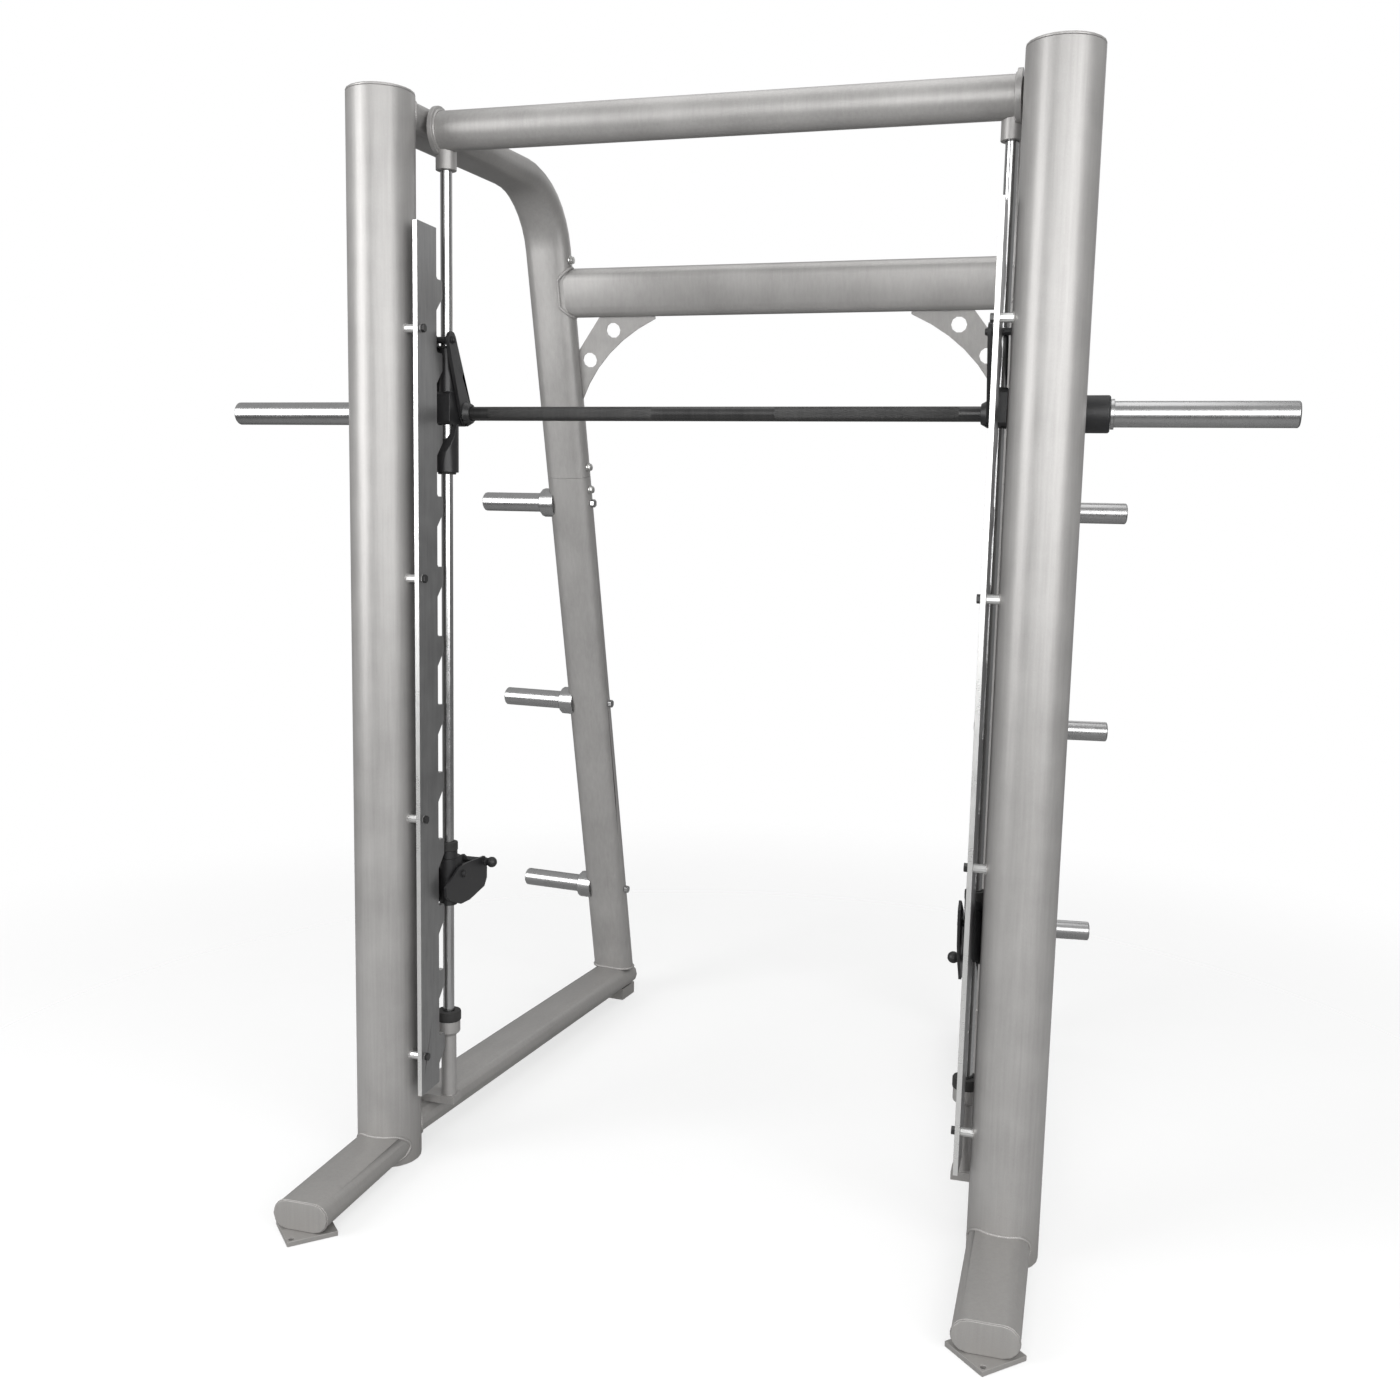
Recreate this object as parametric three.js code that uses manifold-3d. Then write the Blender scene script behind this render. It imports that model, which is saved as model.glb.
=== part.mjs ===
// Smith machine: a guided barbell rack with round front uprights, flat-oval rear frame, lock plates,
// chrome guide rods, a bar on two carriages, safety stops and plate storage horns.
// Millimetres, +Z up. X runs along the bar, -Y is the side the lifter walks in from.
// The origin is on the floor, at the centre of the machine's footprint.
import * as THREE from 'three';
import { mergeVertices } from 'three/addons/utils/BufferGeometryUtils.js';
import Module from 'manifold-3d';

const wasm = await Module();
wasm.setup();

// ---- Driving dimensions ----
const GAP = 0.3;                 // clearance between pieces that touch
const ROUND = 24;                  // sides of a large round section
const SMALL_ROUND = 10;            // sides of a small round section
const SHAFT_SIDES = 16;            // sides of shafts and their bores
const OVERALL_Y_SHIFT = -388;   // brings the footprint's centre to Y = 0

// front uprights
const UPRIGHT_X = 675;
const UPRIGHT_OD = 140;
const UPRIGHT_WALL = 5;
const UPRIGHT_BOTTOM = 1;
const UPRIGHT_TOP = 2274;
const CAP_LIP = 6;
const CAP_PLUG = 20;

// flat-oval tube used for legs, base and rear frame
const OVAL_WIDTH = 120;
const OVAL_HEIGHT = 60;
const OVAL_WALL = 4;
const OVAL_ARC_STEPS = 6;

// front legs and feet
const LEG_X = 670;
const LEG_Z = 40.3;
const LEG_FRONT_Y = -375;
const LEG_CAP_THICK = 5;
const FOOT_SIDE = 100;
const FOOT_THICK = 10;
const FOOT_CENTRE_Y = -350;
const FOOT_HOLE_R = 5.5;
const FOOT_HOLE_OFFSET = 56;
const REAR_FOOT_THICK = 33.7;

// side frames converge towards the back
const CONVERGE = 0.112;          // inward run per unit of depth
const BASE_Z = 64;
const POST_FOOT_Y = 1162;        // post axis where it meets the floor plane
const POST_LEAN = 0.217;         // forward run per unit of height
const TOP_RAIL_Z = 2244;
const BEND_RADIUS = 190;
const SPLICE_Z = 1535;
const POST_BOLT_R = 6;

// cross members
const TOP_BAR_Z = 2223;
const TOP_BAR_OD = 80;
const TOP_BAR_WALL = 4;
const TOP_BAR_Y = 100;
const TOP_FLANGE_OD = 100;
const TOP_FLANGE_THICK = 10;
const REAR_BAR_Z = 1991;
const GUSSET_THICK = 5;
const GUSSET_RUN = 215;
const GUSSET_DROP = 208;
const GUSSET_HOLE_R = 19;
const GUSSET_TIP = 6;            // depth of the plate at its two tips
const GUSSET_RELIEF = [66, 88];  // corner cut away, along the crossbar and down the post
const GUSSET_CURVE = [66, 72];   // where the tangents of the concave edge cross
const GUSSET_HOLES = [[102, -32], [34, -105]];

// guide rods
const ROD_X = 582;
const ROD_Y = 108;
const ROD_OD = 25;
const ROD_BOTTOM = 118;
const ROD_TOP = 2168;
const TOP_SOCKET_OD = 44;
const TOP_SOCKET_BOTTOM = 2146;
const FOOT_SOCKET_OD = 34;
const FOOT_SOCKET_TOP = 262;
const CUP_OD = 52;
const CUP_TOP = 288;
const ROD_BUMPER_OD = 56;
const ROD_BUMPER_TOP = 311;
const LUG_TOP = 112;
const LUG_HALF = 21;
const LUG_REACH = 62;            // how far the lug reaches out over the base tube

// lock plates
const PLATE_X = 580;
const PLATE_THICK = 10;
const PLATE_FRONT_Y = -38;
const PLATE_STRIP_Y = 47;
const TOOTH_TIP_Y = 74;
const PLATE_BOTTOM = 165;
const PLATE_TOP = 2018;
const TOOTH_PITCH = 149.4;
const TOOTH_COUNT = 12;
const LOWEST_TOOTH_Z = 401;
const TOOTH_HALF = 21;
const TOOTH_SLOPE = 22;
const STANDOFF_Y = -20;
const STANDOFF_R = 9;
const STANDOFF_Z = [250, 781, 1296, 1807];
const BOLT_HEAD_R = 9;
const BOLT_HEAD_LENGTH = 8;

// bar and carriages
const BAR_Z = 1648;
const BAR_Y = 155;
const BAR_OD = 30;
const BAR_HALF = 1118;
const SLEEVE_OD = 50;
const SLEEVE_START = 788;
const SLEEVE_END = 1125;
const SLEEVE_FLANGE_OD = 58;
const SLEEVE_FLANGE_THICK = 7;
const COLLAR_OD = 72;
const COLLAR_START = 738;
const ARM_INNER = 17.5;
const ARM_THICK = 8;
const ARM_TIP_Y = -71;
const ARM_TIP_Z = 148;
const ARM_TIP_R = 18;
const ARM_HUB_R = 27;
const HOOK_PIN_R = 7;
const HUB_CONE_LENGTH = 12;
const CARRIAGE_HALF_WIDTH = 16.5;
const CARRIAGE_UP = 42;
const CARRIAGE_DOWN = 27;
const LONG_SLEEVE_OD = 50;
const LONG_SLEEVE_BOTTOM = -128;
const NECK_OD = 33;              // the guide neck above the long carriage's housing
const NECK_TOP = 133;

// safety stops
const STOP_BOTTOM = 560;
const STOP_TOP = 668;
const STOP_OD = 40;
const STOP_WASHER_TOP = 684;
const STOP_BUMPER_TOP = 704;
const STOP_BUMPER_OD = 43;
const LEVER_PIVOT_Y = 126;
const LEVER_STUD_R = 7;
const LEVER_PIVOT_Z = 628;
const LEVER_INNER = 22.5;
const LEVER_THICK = 6;
const LEVER_REACH = 122;
const LEVER_HANDLE_R = 9;
const LEVER_DOWN_ANGLE = THREE.MathUtils.degToRad(-55);

// storage horns
const HORN_Z = [350, 913, 1465];
const HORN_OD = 50;
const HORN_LENGTH = 202;
const HORN_COLLAR_OD = 76;
const HORN_COLLAR_LENGTH = 22;

// ---- Materials ----
const FINISHES = {
  silver: { color: 0xb4b1af, roughness: 0.42, metalness: 0.35 },
  steel: { color: 0xc9cacb, roughness: 0.25, metalness: 0.9 },
  plate: { color: 0x8a8b8c, roughness: 0.4, metalness: 0.7 },
  black: { color: 0x2b2b2c, roughness: 0.5, metalness: 0.2 },
  rubber: { color: 0x1b1b1c, roughness: 0.85, metalness: 0.0 },
};

// ---- Solid helpers ----
function toSolid(geometry) {
  const welded = stripped(geometry);
  return new wasm.Manifold(new wasm.Mesh({
    numProp: 3,
    vertProperties: new Float32Array(welded.attributes.position.array),
    triVerts: new Uint32Array(welded.index.array),
  }));
}

function toGeometry(solid) {
  const data = solid.getMesh();
  const geometry = new THREE.BufferGeometry();
  geometry.setAttribute('position', new THREE.BufferAttribute(new Float32Array(data.vertProperties), 3));
  geometry.setIndex(new THREE.BufferAttribute(new Uint32Array(data.triVerts), 1));
  geometry.computeVertexNormals();
  return geometry;
}

function join(first, ...others) {
  return toGeometry(others.reduce((sum, next) => sum.add(toSolid(next)), toSolid(first)));
}

function cut(first, ...others) {
  return toGeometry(others.reduce((rest, next) => rest.subtract(toSolid(next)), toSolid(first)));
}

function stripped(geometry) {
  const bare = geometry.clone();
  bare.deleteAttribute('normal');
  bare.deleteAttribute('uv');
  return mergeVertices(bare, 1e-4);
}

// The same triangles with their winding turned round.
function reversed(geometry) {
  const copy = stripped(geometry);
  const index = copy.index;
  for (let i = 0; i < index.count; i += 3) {
    const swap = index.getX(i + 1);
    index.setX(i + 1, index.getX(i + 2));
    index.setX(i + 2, swap);
  }
  copy.computeVertexNormals();
  return copy;
}

// A copy reflected in the plane X = 0, with its faces still pointing outwards.
function mirrored(geometry) {
  return reversed(geometry.clone().scale(-1, 1, 1));
}

function prism(shape, depth, curveSegments = OVAL_ARC_STEPS) {
  return new THREE.ExtrudeGeometry(shape, { depth, bevelEnabled: false, curveSegments });
}

// ---- Sections ----
function circlePoints(radius, sides, centre = [0, 0]) {
  const points = [];
  for (let i = 0; i < sides; i += 1) {
    const angle = (2 * Math.PI * i) / sides;
    points.push(new THREE.Vector2(centre[0] + radius * Math.cos(angle), centre[1] + radius * Math.sin(angle)));
  }
  return points;
}

// Outline of a flat oval: two half circles joined by straight sides.
function ovalPoints(width, height) {
  const radius = height / 2;
  const reach = (width - height) / 2;
  const points = [];
  for (const side of [1, -1]) {
    for (let i = 0; i <= OVAL_ARC_STEPS; i += 1) {
      const angle = -Math.PI / 2 + (Math.PI * i) / OVAL_ARC_STEPS;
      points.push(new THREE.Vector2(side * (reach + radius * Math.cos(angle)), side * radius * Math.sin(angle)));
    }
  }
  return points;
}

function ovalSection(width, height, wall) {
  const shape = new THREE.Shape(ovalPoints(width, height));
  if (wall > 0) {
    shape.holes.push(new THREE.Path(ovalPoints(width - 2 * wall, height - 2 * wall).reverse()));
  }
  return shape;
}

function roundSection(outer, inner, sides) {
  const shape = new THREE.Shape(circlePoints(outer, sides));
  if (inner > 0) {
    shape.holes.push(new THREE.Path(circlePoints(inner, sides).reverse()));
  }
  return shape;
}

// A round bar or tube standing on z0, with its axis at (x, y).
function upPipe(x, y, z0, z1, outer, inner = 0, sides = ROUND) {
  return prism(roundSection(outer, inner, sides), z1 - z0).translate(x, y, z0);
}

// A round bar or tube lying along X from x0 to x1.
function sidePipe(x0, x1, y, z, outer, inner = 0, sides = SMALL_ROUND) {
  return prism(roundSection(outer, inner, sides), x1 - x0).rotateY(Math.PI / 2).translate(x0, y, z);
}

// A plate in a plane of constant X: outline points are (Y, Z), thickness runs from x0 to x1.
function sidePlate(points, x0, x1, holes = []) {
  const shape = new THREE.Shape(points);
  holes.forEach((hole) => shape.holes.push(new THREE.Path(hole)));
  const plate = prism(shape, x1 - x0);
  plate.applyMatrix4(new THREE.Matrix4().set(0, 0, 1, x0, 1, 0, 0, 0, 0, 1, 0, 0, 0, 0, 0, 1));
  return plate;
}

function block(x0, x1, y0, y1, z0, z1) {
  return new THREE.BoxGeometry(x1 - x0, y1 - y0, z1 - z0)
    .translate((x0 + x1) / 2, (y0 + y1) / 2, (z0 + z1) / 2);
}

// A curve through given stations, so that a sweep has its sections only where they are needed.
class StationCurve extends THREE.Curve {
  constructor(points, tangents) {
    super();
    this.points = points;
    this.tangents = tangents;
  }

  blend(list, t, target) {
    const place = t * (list.length - 1);
    const low = Math.min(Math.floor(place), list.length - 2);
    return target.copy(list[low]).lerp(list[low + 1], place - low);
  }

  getPoint(t, target = new THREE.Vector3()) {
    return this.blend(this.points, t, target);
  }

  getPointAt(u, target) {
    return this.getPoint(u, target);
  }

  getSpacedPoints(divisions) {
    return this.getPoints(divisions);
  }

  getTangentAt(u, target = new THREE.Vector3()) {
    return this.blend(this.tangents, u, target).normalize();
  }
}

// ---- Side frame geometry shared by several pieces ----
const frameX = (y) => UPRIGHT_X - CONVERGE * y;
const postY = (z) => POST_FOOT_Y - POST_LEAN * z;
const convergeAngle = Math.atan(CONVERGE);
const leanAngle = Math.atan(POST_LEAN);
const topBarEnd = frameX(TOP_BAR_Y + TOP_FLANGE_OD / 2) - OVAL_WIDTH / 2 - GAP;

// Places a piece modelled in the plane X = 0 into the converging side frame.
function intoSideFrame(geometry) {
  return geometry.rotateZ(convergeAngle).translate(UPRIGHT_X, 0, 0);
}

// Depth measured along the side frame for a depth measured along Y.
const alongFrame = (y) => y * Math.hypot(1, CONVERGE);

function sweepOval(points, tangents, wall, extra = 0) {
  const path = new StationCurve(points, tangents);
  return new THREE.ExtrudeGeometry(ovalSection(OVAL_WIDTH + 2 * extra, OVAL_HEIGHT + 2 * extra, wall), {
    extrudePath: path, steps: points.length - 1, bevelEnabled: false,
  });
}

// Straight oval tube between two points of the side frame's own plane.
function straightOval(from, to, wall = OVAL_WALL, extra = 0) {
  const a = new THREE.Vector3(0, ...from);
  const b = new THREE.Vector3(0, ...to);
  const along = b.clone().sub(a).normalize();
  return sweepOval([a, b], [along, along], wall, extra);
}

// Level oval tube lying flat, from y0 to y1 in the plane X = 0.
function levelOval(y0, y1, z, wall = OVAL_WALL) {
  return prism(ovalSection(OVAL_WIDTH, OVAL_HEIGHT, wall), y1 - y0).rotateX(-Math.PI / 2).translate(0, y0, z);
}

const postLine = (z) => [alongFrame(postY(z)), z];

function uprightCore(extra = GAP) {
  return upPipe(UPRIGHT_X, 0, -100, 2500, UPRIGHT_OD / 2 + extra);
}

// ---- Front uprights ----
function buildUpright() {
  return upPipe(UPRIGHT_X, 0, UPRIGHT_BOTTOM, UPRIGHT_TOP, UPRIGHT_OD / 2, UPRIGHT_OD / 2 - UPRIGHT_WALL);
}

function buildUprightCap() {
  const radius = UPRIGHT_OD / 2;
  const plug = radius - UPRIGHT_WALL - GAP;
  const profile = [
    [0, -CAP_PLUG], [plug, -CAP_PLUG], [plug, GAP], [radius, GAP],
    [radius, CAP_LIP - 2], [radius - 3, CAP_LIP], [0, CAP_LIP],
  ].map(([r, z]) => new THREE.Vector2(r, z));
  return new THREE.LatheGeometry(profile, ROUND).rotateX(Math.PI / 2).translate(UPRIGHT_X, 0, UPRIGHT_TOP);
}

// ---- Front legs ----
function buildLeg() {
  const tube = levelOval(LEG_FRONT_Y + LEG_CAP_THICK + GAP, 0, LEG_Z).translate(LEG_X, 0, 0);
  return cut(tube, uprightCore());
}

function buildLegCap() {
  return levelOval(LEG_FRONT_Y, LEG_FRONT_Y + LEG_CAP_THICK, LEG_Z, 0).translate(LEG_X, 0, 0);
}

function footPlate(side, thick, holeOffset) {
  const half = side / 2;
  const shape = new THREE.Shape([[-half, -half], [half, -half], [half, half], [-half, half]]
    .map(([x, y]) => new THREE.Vector2(x, y)));
  const reach = holeOffset / Math.SQRT2;
  shape.holes.push(new THREE.Path(circlePoints(FOOT_HOLE_R, SMALL_ROUND, [-reach, -reach]).reverse()));
  return prism(shape, thick).rotateZ(Math.PI / 4);
}

function buildFrontFoot() {
  return footPlate(FOOT_SIDE, FOOT_THICK, FOOT_HOLE_OFFSET).translate(LEG_X, FOOT_CENTRE_Y, 0);
}

// ---- Rear frame ----
function buildBaseTube() {
  const end = alongFrame(postY(BASE_Z)) + OVAL_HEIGHT / 2;
  return cut(intoSideFrame(levelOval(0, end, BASE_Z)), uprightCore());
}

function buildRearFoot() {
  const foot = block(-45, 45, -50, 30, 0, REAR_FOOT_THICK);
  return intoSideFrame(foot.translate(0, alongFrame(postY(0)), 0));
}

// Bolt holes run across the post, where the horns are held.
function boltHole(z, radius) {
  return sidePipe(-100, 100, alongFrame(postY(z)), z, radius);
}

function buildLowerPost() {
  const top = SPLICE_Z - GAP;
  const tube = straightOval(postLine(0), postLine(top));
  const floor = block(-200, 200, 0, 2000, -200, BASE_Z + OVAL_HEIGHT / 2 + GAP);
  const holes = HORN_Z.map((z) => boltHole(z, POST_BOLT_R + GAP));
  return intoSideFrame(cut(tube, floor, ...holes));
}

function buildUpperPost() {
  const up = new THREE.Vector3(0, -Math.sin(leanAngle), Math.cos(leanAngle));
  const turn = Math.PI / 2 - leanAngle;
  const reach = BEND_RADIUS * Math.tan(turn / 2);
  const [cornerY, cornerZ] = postLine(TOP_RAIL_Z);
  const corner = new THREE.Vector3(0, cornerY, cornerZ);
  const bendStart = corner.clone().addScaledVector(up, -reach);
  const centre = bendStart.clone().add(new THREE.Vector3(0, -up.z, up.y).multiplyScalar(BEND_RADIUS));
  const points = [new THREE.Vector3(0, ...postLine(SPLICE_Z))];
  const tangents = [up];
  const bendSteps = 8;
  for (let i = 0; i <= bendSteps; i += 1) {
    const angle = (turn * i) / bendSteps;
    const along = up.clone().applyAxisAngle(new THREE.Vector3(1, 0, 0), angle);
    const inward = new THREE.Vector3(0, -along.z, along.y);
    points.push(centre.clone().addScaledVector(inward, -BEND_RADIUS));
    tangents.push(along);
  }
  points.push(new THREE.Vector3(0, 0, TOP_RAIL_Z));
  tangents.push(new THREE.Vector3(0, -1, 0));
  return cut(intoSideFrame(sweepOval(points, tangents, OVAL_WALL)), uprightCore());
}

// ---- Cross members ----
function buildTopBar() {
  const end = topBarEnd;
  const tube = sidePipe(-end, end, TOP_BAR_Y, TOP_BAR_Z, TOP_BAR_OD / 2, TOP_BAR_OD / 2 - TOP_BAR_WALL, ROUND);
  const flange = sidePipe(end - TOP_FLANGE_THICK, end, TOP_BAR_Y, TOP_BAR_Z, TOP_FLANGE_OD / 2,
    TOP_BAR_OD / 2 - TOP_BAR_WALL, ROUND);
  return join(tube, flange, mirrored(flange));
}

// Solid envelope of the straight part of a rear post, for coping pieces against it.
function postEnvelope(extra) {
  return intoSideFrame(straightOval(postLine(1200), postLine(2100), 0, extra));
}

function buildRearBar() {
  const y = postY(REAR_BAR_Z);
  const half = frameX(y) - OVAL_WIDTH / 2 + 22;
  const tube = prism(ovalSection(OVAL_WIDTH, OVAL_HEIGHT, OVAL_WALL), 2 * half)
    .rotateY(Math.PI / 2).translate(-half, 0, 0);
  tube.rotateX(leanAngle).translate(0, y, REAR_BAR_Z);
  const cope = postEnvelope(GAP);
  return cut(tube, cope, mirrored(cope));
}

// A thin corner plate under the rear crossbar: concave outer edge, relieved corner, two round holes.
function buildGusset() {
  const outline = new THREE.Shape();
  outline.moveTo(GUSSET_RELIEF[0], 0);
  outline.lineTo(0, -GUSSET_RELIEF[1]);
  outline.lineTo(0, -GUSSET_DROP);
  outline.lineTo(GUSSET_TIP, -GUSSET_DROP);
  outline.quadraticCurveTo(GUSSET_CURVE[0], -GUSSET_CURVE[1], GUSSET_RUN, -GUSSET_TIP);
  outline.lineTo(GUSSET_RUN, 0);
  outline.closePath();
  GUSSET_HOLES.forEach((centre) => {
    outline.holes.push(new THREE.Path(circlePoints(GUSSET_HOLE_R, SMALL_ROUND, centre).reverse()));
  });
  const drop = OVAL_WIDTH / 2 + GAP;
  const z = REAR_BAR_Z - drop * Math.cos(leanAngle);
  const inner = frameX(postY(z)) - OVAL_WIDTH / 2 + 4;
  const plate = prism(outline, GUSSET_THICK).translate(0, 0, -GUSSET_THICK / 2);
  plate.applyMatrix4(new THREE.Matrix4().makeScale(-1, 1, 1));
  const turned = reversed(plate).rotateX(Math.PI / 2 + leanAngle);
  return cut(turned.translate(inner, postY(z), z), postEnvelope(GAP));
}

// ---- Guide rods ----
function buildRod() {
  return upPipe(ROD_X, ROD_Y, ROD_BOTTOM, ROD_TOP, ROD_OD / 2, 0, SHAFT_SIDES);
}

// The block under the top rail's end that holds the rod, welded beneath the top crossbar.
function buildTopSocket() {
  const body = upPipe(ROD_X, ROD_Y, TOP_SOCKET_BOTTOM, TOP_BAR_Z, TOP_SOCKET_OD / 2, ROD_OD / 2 + GAP, SHAFT_SIDES);
  const tube = sidePipe(0, ROD_X + 200, TOP_BAR_Y, TOP_BAR_Z, TOP_BAR_OD / 2 + GAP, 0, ROUND);
  const flange = sidePipe(topBarEnd - TOP_FLANGE_THICK - GAP, ROD_X + 200,
    TOP_BAR_Y, TOP_BAR_Z, TOP_FLANGE_OD / 2 + GAP, 0, ROUND);
  return cut(body, tube, flange);
}

// Steel foot of the rod: a lug on the base tube, a socket tube and a cup that carries the bumper.
function buildFootSocket() {
  const profile = [
    [ROD_OD / 2 + GAP, ROD_BOTTOM + 4], [FOOT_SOCKET_OD / 2, ROD_BOTTOM + 4],
    [FOOT_SOCKET_OD / 2, FOOT_SOCKET_TOP - 8], [CUP_OD / 2, FOOT_SOCKET_TOP],
    [CUP_OD / 2, CUP_TOP], [ROD_OD / 2 + GAP, CUP_TOP], [ROD_OD / 2 + GAP, ROD_BOTTOM + 4],
  ].map(([r, z]) => new THREE.Vector2(r, z));
  const tube = new THREE.LatheGeometry(profile, SHAFT_SIDES).rotateX(Math.PI / 2).translate(ROD_X, ROD_Y, 0);
  const top = BASE_Z + OVAL_HEIGHT / 2 + GAP;
  const seat = upPipe(ROD_X, ROD_Y, top, ROD_BOTTOM + 5, FOOT_SOCKET_OD / 2, 0, SHAFT_SIDES);
  const lug = block(ROD_X - LUG_HALF, ROD_X + LUG_REACH, ROD_Y - LUG_HALF, ROD_Y + LUG_HALF, top, LUG_TOP);
  const bore = upPipe(ROD_X, ROD_Y, ROD_BOTTOM - GAP, CUP_TOP + 1, ROD_OD / 2 + GAP, 0, SHAFT_SIDES);
  return cut(join(seat, tube, lug), bore);
}

function buildRodBumper() {
  return upPipe(ROD_X, ROD_Y, CUP_TOP + GAP, ROD_BUMPER_TOP, ROD_BUMPER_OD / 2, ROD_OD / 2 + 0.5, SHAFT_SIDES);
}

// ---- Lock plates ----
function lockPlateOutline() {
  const points = [new THREE.Vector2(PLATE_FRONT_Y, PLATE_BOTTOM), new THREE.Vector2(PLATE_STRIP_Y, PLATE_BOTTOM)];
  for (let i = 0; i < TOOTH_COUNT; i += 1) {
    const z = LOWEST_TOOTH_Z + (i - 1) * TOOTH_PITCH;
    points.push(new THREE.Vector2(PLATE_STRIP_Y, z - TOOTH_HALF - TOOTH_SLOPE));
    points.push(new THREE.Vector2(TOOTH_TIP_Y, z - TOOTH_HALF + 6));
    points.push(new THREE.Vector2(TOOTH_TIP_Y, z + TOOTH_HALF - 4));
    points.push(new THREE.Vector2(TOOTH_TIP_Y - 4, z + TOOTH_HALF));
    points.push(new THREE.Vector2(PLATE_STRIP_Y + 5, z + TOOTH_HALF));
    points.push(new THREE.Vector2(PLATE_STRIP_Y, z + TOOTH_HALF + 5));
  }
  points.push(new THREE.Vector2(PLATE_STRIP_Y, PLATE_TOP));
  points.push(new THREE.Vector2(PLATE_FRONT_Y, PLATE_TOP));
  return points;
}

// The toothed plate with its four standoffs and bolt heads, all in one piece.
function buildLockPlate() {
  const inner = PLATE_X - PLATE_THICK / 2;
  const outer = PLATE_X + PLATE_THICK / 2;
  const plate = sidePlate(lockPlateOutline(), inner, outer);
  const fixings = STANDOFF_Z.flatMap((z) => [
    sidePipe(outer - 1, UPRIGHT_X, STANDOFF_Y, z, STANDOFF_R),
    sidePipe(inner - BOLT_HEAD_LENGTH, inner + 1, STANDOFF_Y, z, BOLT_HEAD_R, 0, 6),
  ]);
  return cut(join(plate, ...fixings), uprightCore());
}

// ---- Bar ----
function buildBar() {
  return sidePipe(-BAR_HALF, BAR_HALF, BAR_Y, BAR_Z, BAR_OD / 2, 0, SHAFT_SIDES);
}

function aroundBar(geometry) {
  return geometry.translate(0, BAR_Y, BAR_Z);
}

function lathedOnBar(profile, sides = SHAFT_SIDES) {
  const points = profile.map(([r, x]) => new THREE.Vector2(r, x));
  return aroundBar(new THREE.LatheGeometry(points, sides).rotateZ(-Math.PI / 2));
}

function buildSleeve() {
  const bore = BAR_OD / 2 + GAP;
  return lathedOnBar([
    [bore, SLEEVE_START], [SLEEVE_FLANGE_OD / 2, SLEEVE_START],
    [SLEEVE_FLANGE_OD / 2, SLEEVE_START + SLEEVE_FLANGE_THICK],
    [SLEEVE_OD / 2, SLEEVE_START + SLEEVE_FLANGE_THICK],
    [SLEEVE_OD / 2, SLEEVE_END - 3], [SLEEVE_OD / 2 - 3, SLEEVE_END], [bore, SLEEVE_END], [bore, SLEEVE_START],
  ], ROUND);
}

function buildCollar() {
  const bore = BAR_OD / 2 + GAP;
  return lathedOnBar([
    [bore, COLLAR_START], [COLLAR_OD / 2 - 4, COLLAR_START], [COLLAR_OD / 2, COLLAR_START + 4],
    [COLLAR_OD / 2, SLEEVE_START - GAP - 3], [COLLAR_OD / 2 - 3, SLEEVE_START - GAP],
    [bore, SLEEVE_START - GAP], [bore, COLLAR_START],
  ], ROUND);
}

// Outline of a hook arm: a round hub at the bar and a small round end at the hook pin.
function armOutline() {
  const length = Math.hypot(ARM_TIP_Y, ARM_TIP_Z);
  const tilt = Math.atan2(ARM_TIP_Z, ARM_TIP_Y);
  const spread = Math.acos((ARM_HUB_R - ARM_TIP_R) / length);
  const points = [];
  const steps = 5;
  for (let i = 0; i <= steps; i += 1) {
    const angle = tilt + spread + ((2 * Math.PI - 2 * spread) * i) / steps;
    points.push(new THREE.Vector2(ARM_HUB_R * Math.cos(angle), ARM_HUB_R * Math.sin(angle)));
  }
  for (let i = 0; i <= steps; i += 1) {
    const angle = tilt - spread + (2 * spread * i) / steps;
    points.push(new THREE.Vector2(
      ARM_TIP_Y + ARM_TIP_R * Math.cos(angle),
      ARM_TIP_Z + ARM_TIP_R * Math.sin(angle),
    ));
  }
  return points;
}

// Hook yoke: two arms that straddle the guide rod and lock plate, the hook pin and the hub on the bar.
function buildYoke() {
  const bore = circlePoints(BAR_OD / 2 + 2 * GAP, SHAFT_SIDES).reverse();
  const innerArm = [ROD_X - ARM_INNER - ARM_THICK, ROD_X - ARM_INNER];
  const outerArm = [ROD_X + ARM_INNER, ROD_X + ARM_INNER + ARM_THICK];
  const arms = [innerArm, outerArm].map(([x0, x1]) => aroundBar(sidePlate(armOutline(), x0, x1, [bore])));
  const pin = aroundBar(sidePipe(innerArm[0] - 5, outerArm[1] + 5, ARM_TIP_Y, ARM_TIP_Z, HOOK_PIN_R));
  const cone = lathedOnBar([
    [BAR_OD / 2 + GAP, innerArm[0] - HUB_CONE_LENGTH], [BAR_OD / 2 + 5, innerArm[0] - HUB_CONE_LENGTH],
    [ARM_HUB_R, innerArm[0] + 1], [BAR_OD / 2 + GAP, innerArm[0] + 1],
    [BAR_OD / 2 + GAP, innerArm[0] - HUB_CONE_LENGTH],
  ]);
  return join(arms[0], arms[1], pin, cone);
}

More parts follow.
